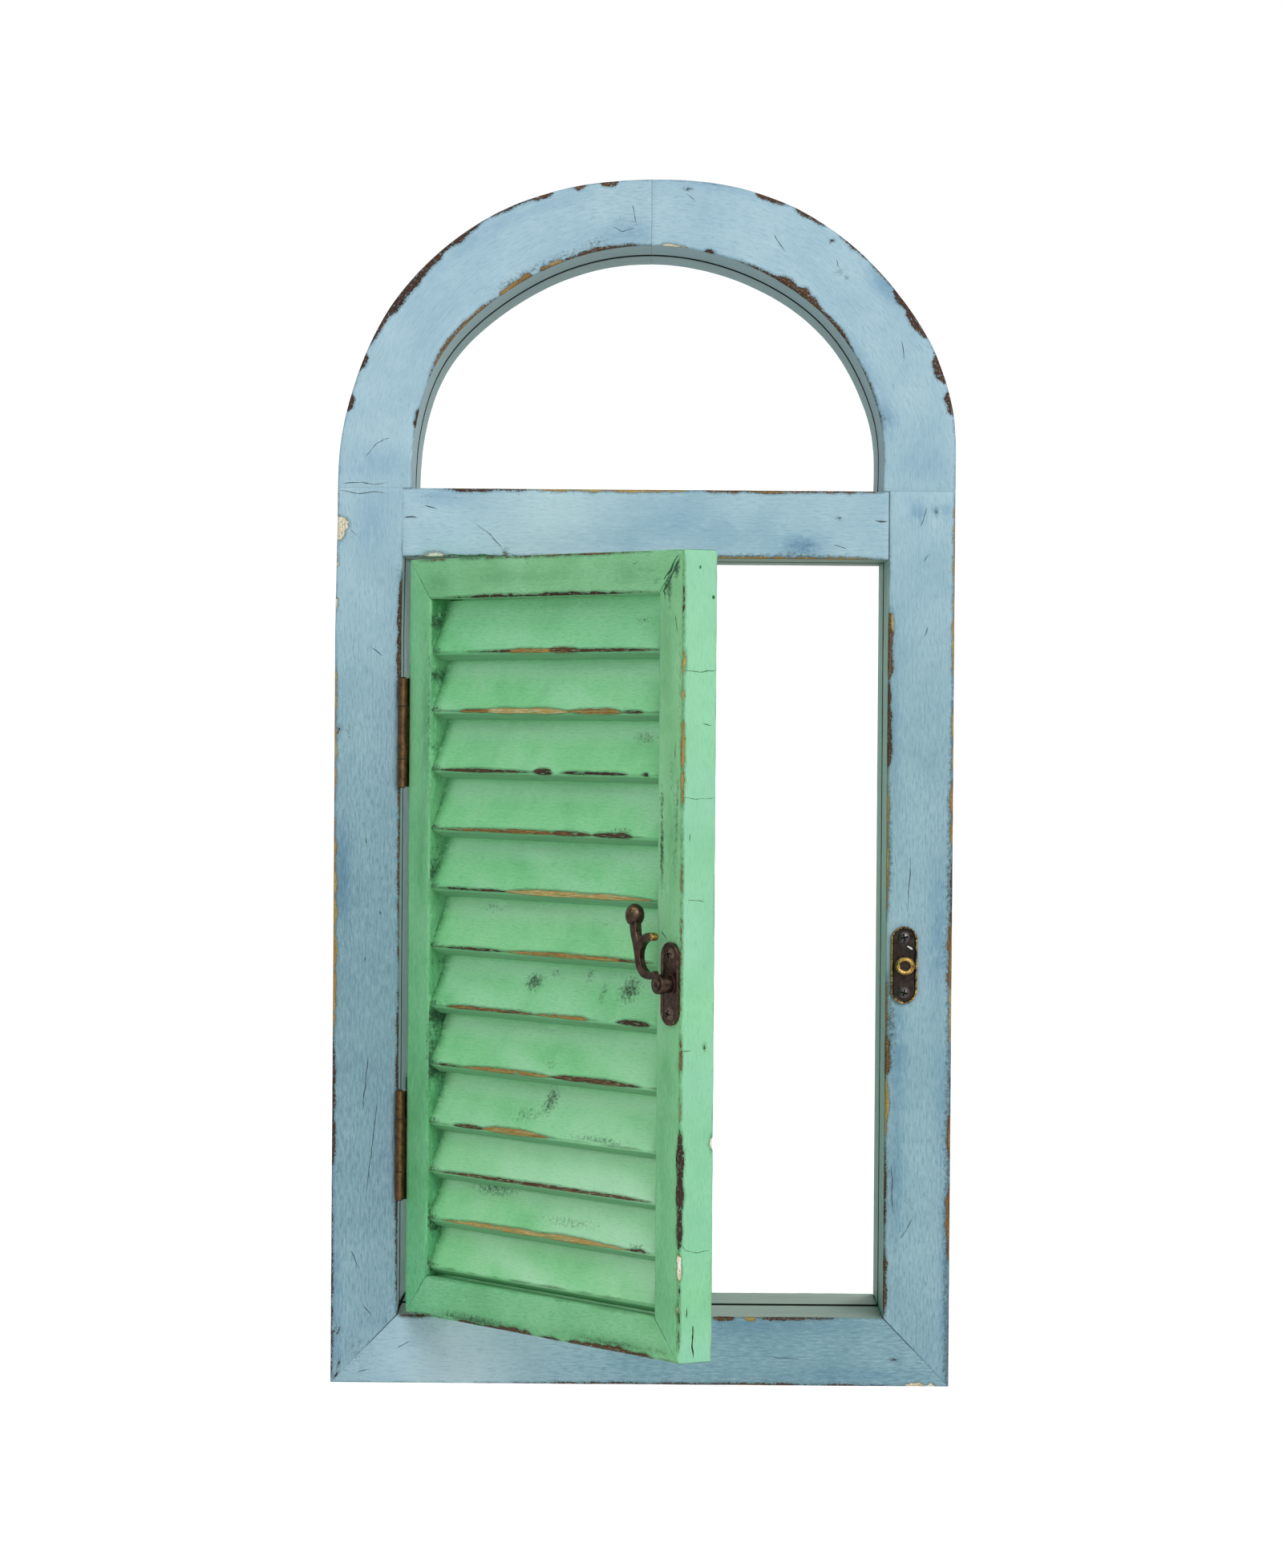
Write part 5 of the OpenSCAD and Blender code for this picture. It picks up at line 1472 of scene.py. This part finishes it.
def make_metal():
    recast("latch_arm", BRONZE, 0.2, 5, arm_rub, arm_shape)
    recast("latch_plate", BRONZE, 0.2, 6, rim_rub(RIVET_X, True, 0.35))
    recast("latch_rivet", BRONZE, 0.14, 3)
    recast("keeper_plate", KEEPER_BRONZE, 0.2, 2, rim_rub(PEG_X, False, 0.52))
    recast("keeper_peg", KEEPER_BRONZE, 0.14, 3, peg_rub, peg_shape)
    give(SCREW_BRONZE, "latch_screws")
    give(SCREW_METAL, "keeper_screws")
    screw_hollow_shade("latch_screws", RIVET_X, True)
    screw_hollow_shade("keeper_screws", PEG_X, False)
    barrels = ["hinge_top_frame_leaf", "hinge_bottom_frame_leaf", "hinge_top_shutter_leaf",
               "hinge_bottom_shutter_leaf", "hinge_top_pin", "hinge_bottom_pin"]
    give(HINGE_BRONZE, *barrels, "frame_hinge_screws", "shutter_hinge_screws")
    for node in barrels:
        soft_edges(node, 0.18)
    for node in ("latch_screws", "keeper_screws"):
        soft_edges(node, 0.12)
    hinge_gap_shadows()
    give(STEEL, "hanging_plate", "hanging_screws", "backing_brads")
    soft_edges("hanging_plate", 0.2)
    painted_nails("foot_nail_heads", "frame", "blue_paint", BLUE_NAIL, "foot_nails", FOOT_NAILS)


def splash(name, place, sizes, seed):
    """A small raised blot with an uneven outline, facing the front."""
    count = 14
    angles = np.linspace(0, 2 * math.pi, count, endpoint=False)
    reach = 1 + 0.35 * wobble(np.arange(count) * 1.0, seed, 1.7)
    centre = np.array(place)
    rings = []
    for share, lift in ((1.0, 0.0), (0.75, 0.12), (0.3, 0.18)):
        x = centre[0] + sizes[0] * share * reach * np.cos(angles)
        z = centre[2] + sizes[1] * share * reach * np.sin(angles) - 0.4 * (x - centre[0])
        rings.append(np.stack([x, np.full(count, centre[1] - lift), z], -1))
    verts = np.concatenate(rings) / METRE
    faces = [tuple(range(2 * count, 3 * count)), tuple(range(count))]
    for r in range(2):
        for i in range(count):
            k = (i + 1) % count
            faces.append((r * count + i, r * count + k, (r + 1) * count + k, (r + 1) * count + i))
    dress(new_piece(name, verts, faces), CHIP, "frame", "blue_paint")


# --------------------------------------------------------------------- stage

def area_light(name, place, aim, size, watts):
    data = bpy.data.lights.new(name, "AREA")
    data.shape, data.size, data.energy = "DISK", size, watts
    obj = new_object(name, data)
    obj.location = place
    obj.rotation_euler = (Vector(aim) - Vector(place)).to_track_quat("-Z", "Y").to_euler()


# The floor lies well below the mirror, which hangs. Both values are in metres.
FLOOR_R, FLOOR_Z = 1.25, -0.30


def make_floor():
    work = bmesh.new()
    bmesh.ops.create_circle(work, cap_ends=True, segments=96, radius=FLOOR_R)
    obj = object_of("floor", work)
    obj.location = (0, 0, FLOOR_Z)
    s = Shader("pale_floor")
    cloud = s.noise(s.here(), 0.004, 3, 0.5)
    tint = s.ramp(cloud, (0.3, colour(240, 240, 239)), (0.7, colour(246, 246, 245)))
    obj.data.materials.append(s.paint(tint, s.step(cloud, 0.3, 0.7, 0.8, 0.9)))


# How bright the studio is to the camera, in the mirror and as light on the wood,
# and what metal reflects of its upper and lower sides.
SEEN, MIRRORED, AMBIENT = 1.06, 1.32, 0.67
SIDE_GLOSS, LOW_GLOSS = 0.85, 0.30


def make_world():
    """An even white studio, with darker sides for the metal to reflect."""
    world = bpy.data.worlds.new("studio")
    bpy.context.scene.world = world
    s = Nodes(world)
    background = s.tree.nodes["Background"]
    background.inputs["Color"].default_value = (1.0, 1.0, 1.0, 1.0)
    path = s.node("ShaderNodeLightPath")
    where = s.node("ShaderNodeTexCoord")
    split = s.node("ShaderNodeSeparateXYZ", Vector=where.outputs["Generated"])
    sides = s.step(split.outputs["Z"], -0.6, 0.7, LOW_GLOSS, SIDE_GLOSS)
    ahead = s.step(split.outputs["Y"], -0.86, -0.955)
    behind = s.step(split.outputs["Y"], 0.86, 0.955)
    plain = s.math("MAXIMUM", ahead, behind)
    gloss = s.add(s.times(plain, MIRRORED), s.times(s.math("SUBTRACT", 1.0, plain), sides))
    is_diffuse, is_camera = path.outputs["Is Diffuse Ray"], path.outputs["Is Camera Ray"]
    others = s.math("MAXIMUM", s.math("SUBTRACT", 1.0, s.add(is_diffuse, is_camera)), 0.0)
    strength = s.add(s.times(is_camera, SEEN), s.times(is_diffuse, AMBIENT), s.times(others, gloss))
    s.put(background.inputs["Strength"], strength)


# The camera stands a little above the middle and is rolled slightly. Places are in
# metres.
CAMERA_AT, CAMERA_AIM = (-0.002, -2.318, 0.304), (-0.001, -0.028, 0.272)
CAMERA_ROLL, LENS, SENSOR = math.radians(0.42), 116.33, 36.0


def make_camera():
    data = bpy.data.cameras.new("camera")
    data.lens, data.sensor_width = LENS, SENSOR
    obj = new_object("camera", data)
    place, aim = Vector(CAMERA_AT), Vector(CAMERA_AIM)
    look = (aim - place).to_track_quat("-Z", "Y").to_matrix()
    roll = Matrix.Rotation(CAMERA_ROLL, 3, "Z")
    obj.matrix_world = Matrix.Translation(place) @ (look @ roll).to_4x4()
    bpy.context.scene.camera = obj


def main():
    make_blue_members()
    make_green_members()
    make_louvers()
    make_metal()
    splash("keeper_chip", (PEG_X + 2.4, FRONT - PLATE_T - 0.05, LATCH_H + 8.0), (1.3, 0.6), 5)
    give(MIRROR, "mirror_glass")
    give(BOARD, "backing_board")
    give(WOOD, "transom_dowels", "arch_dowels")
    make_floor()
    make_world()
    area_light("key", (1.2, -2.5, 1.5), (0, 0, 0.27), 1.3, 40.0)
    make_camera()
    bpy.context.scene.view_settings.view_transform = "Standard"


main()
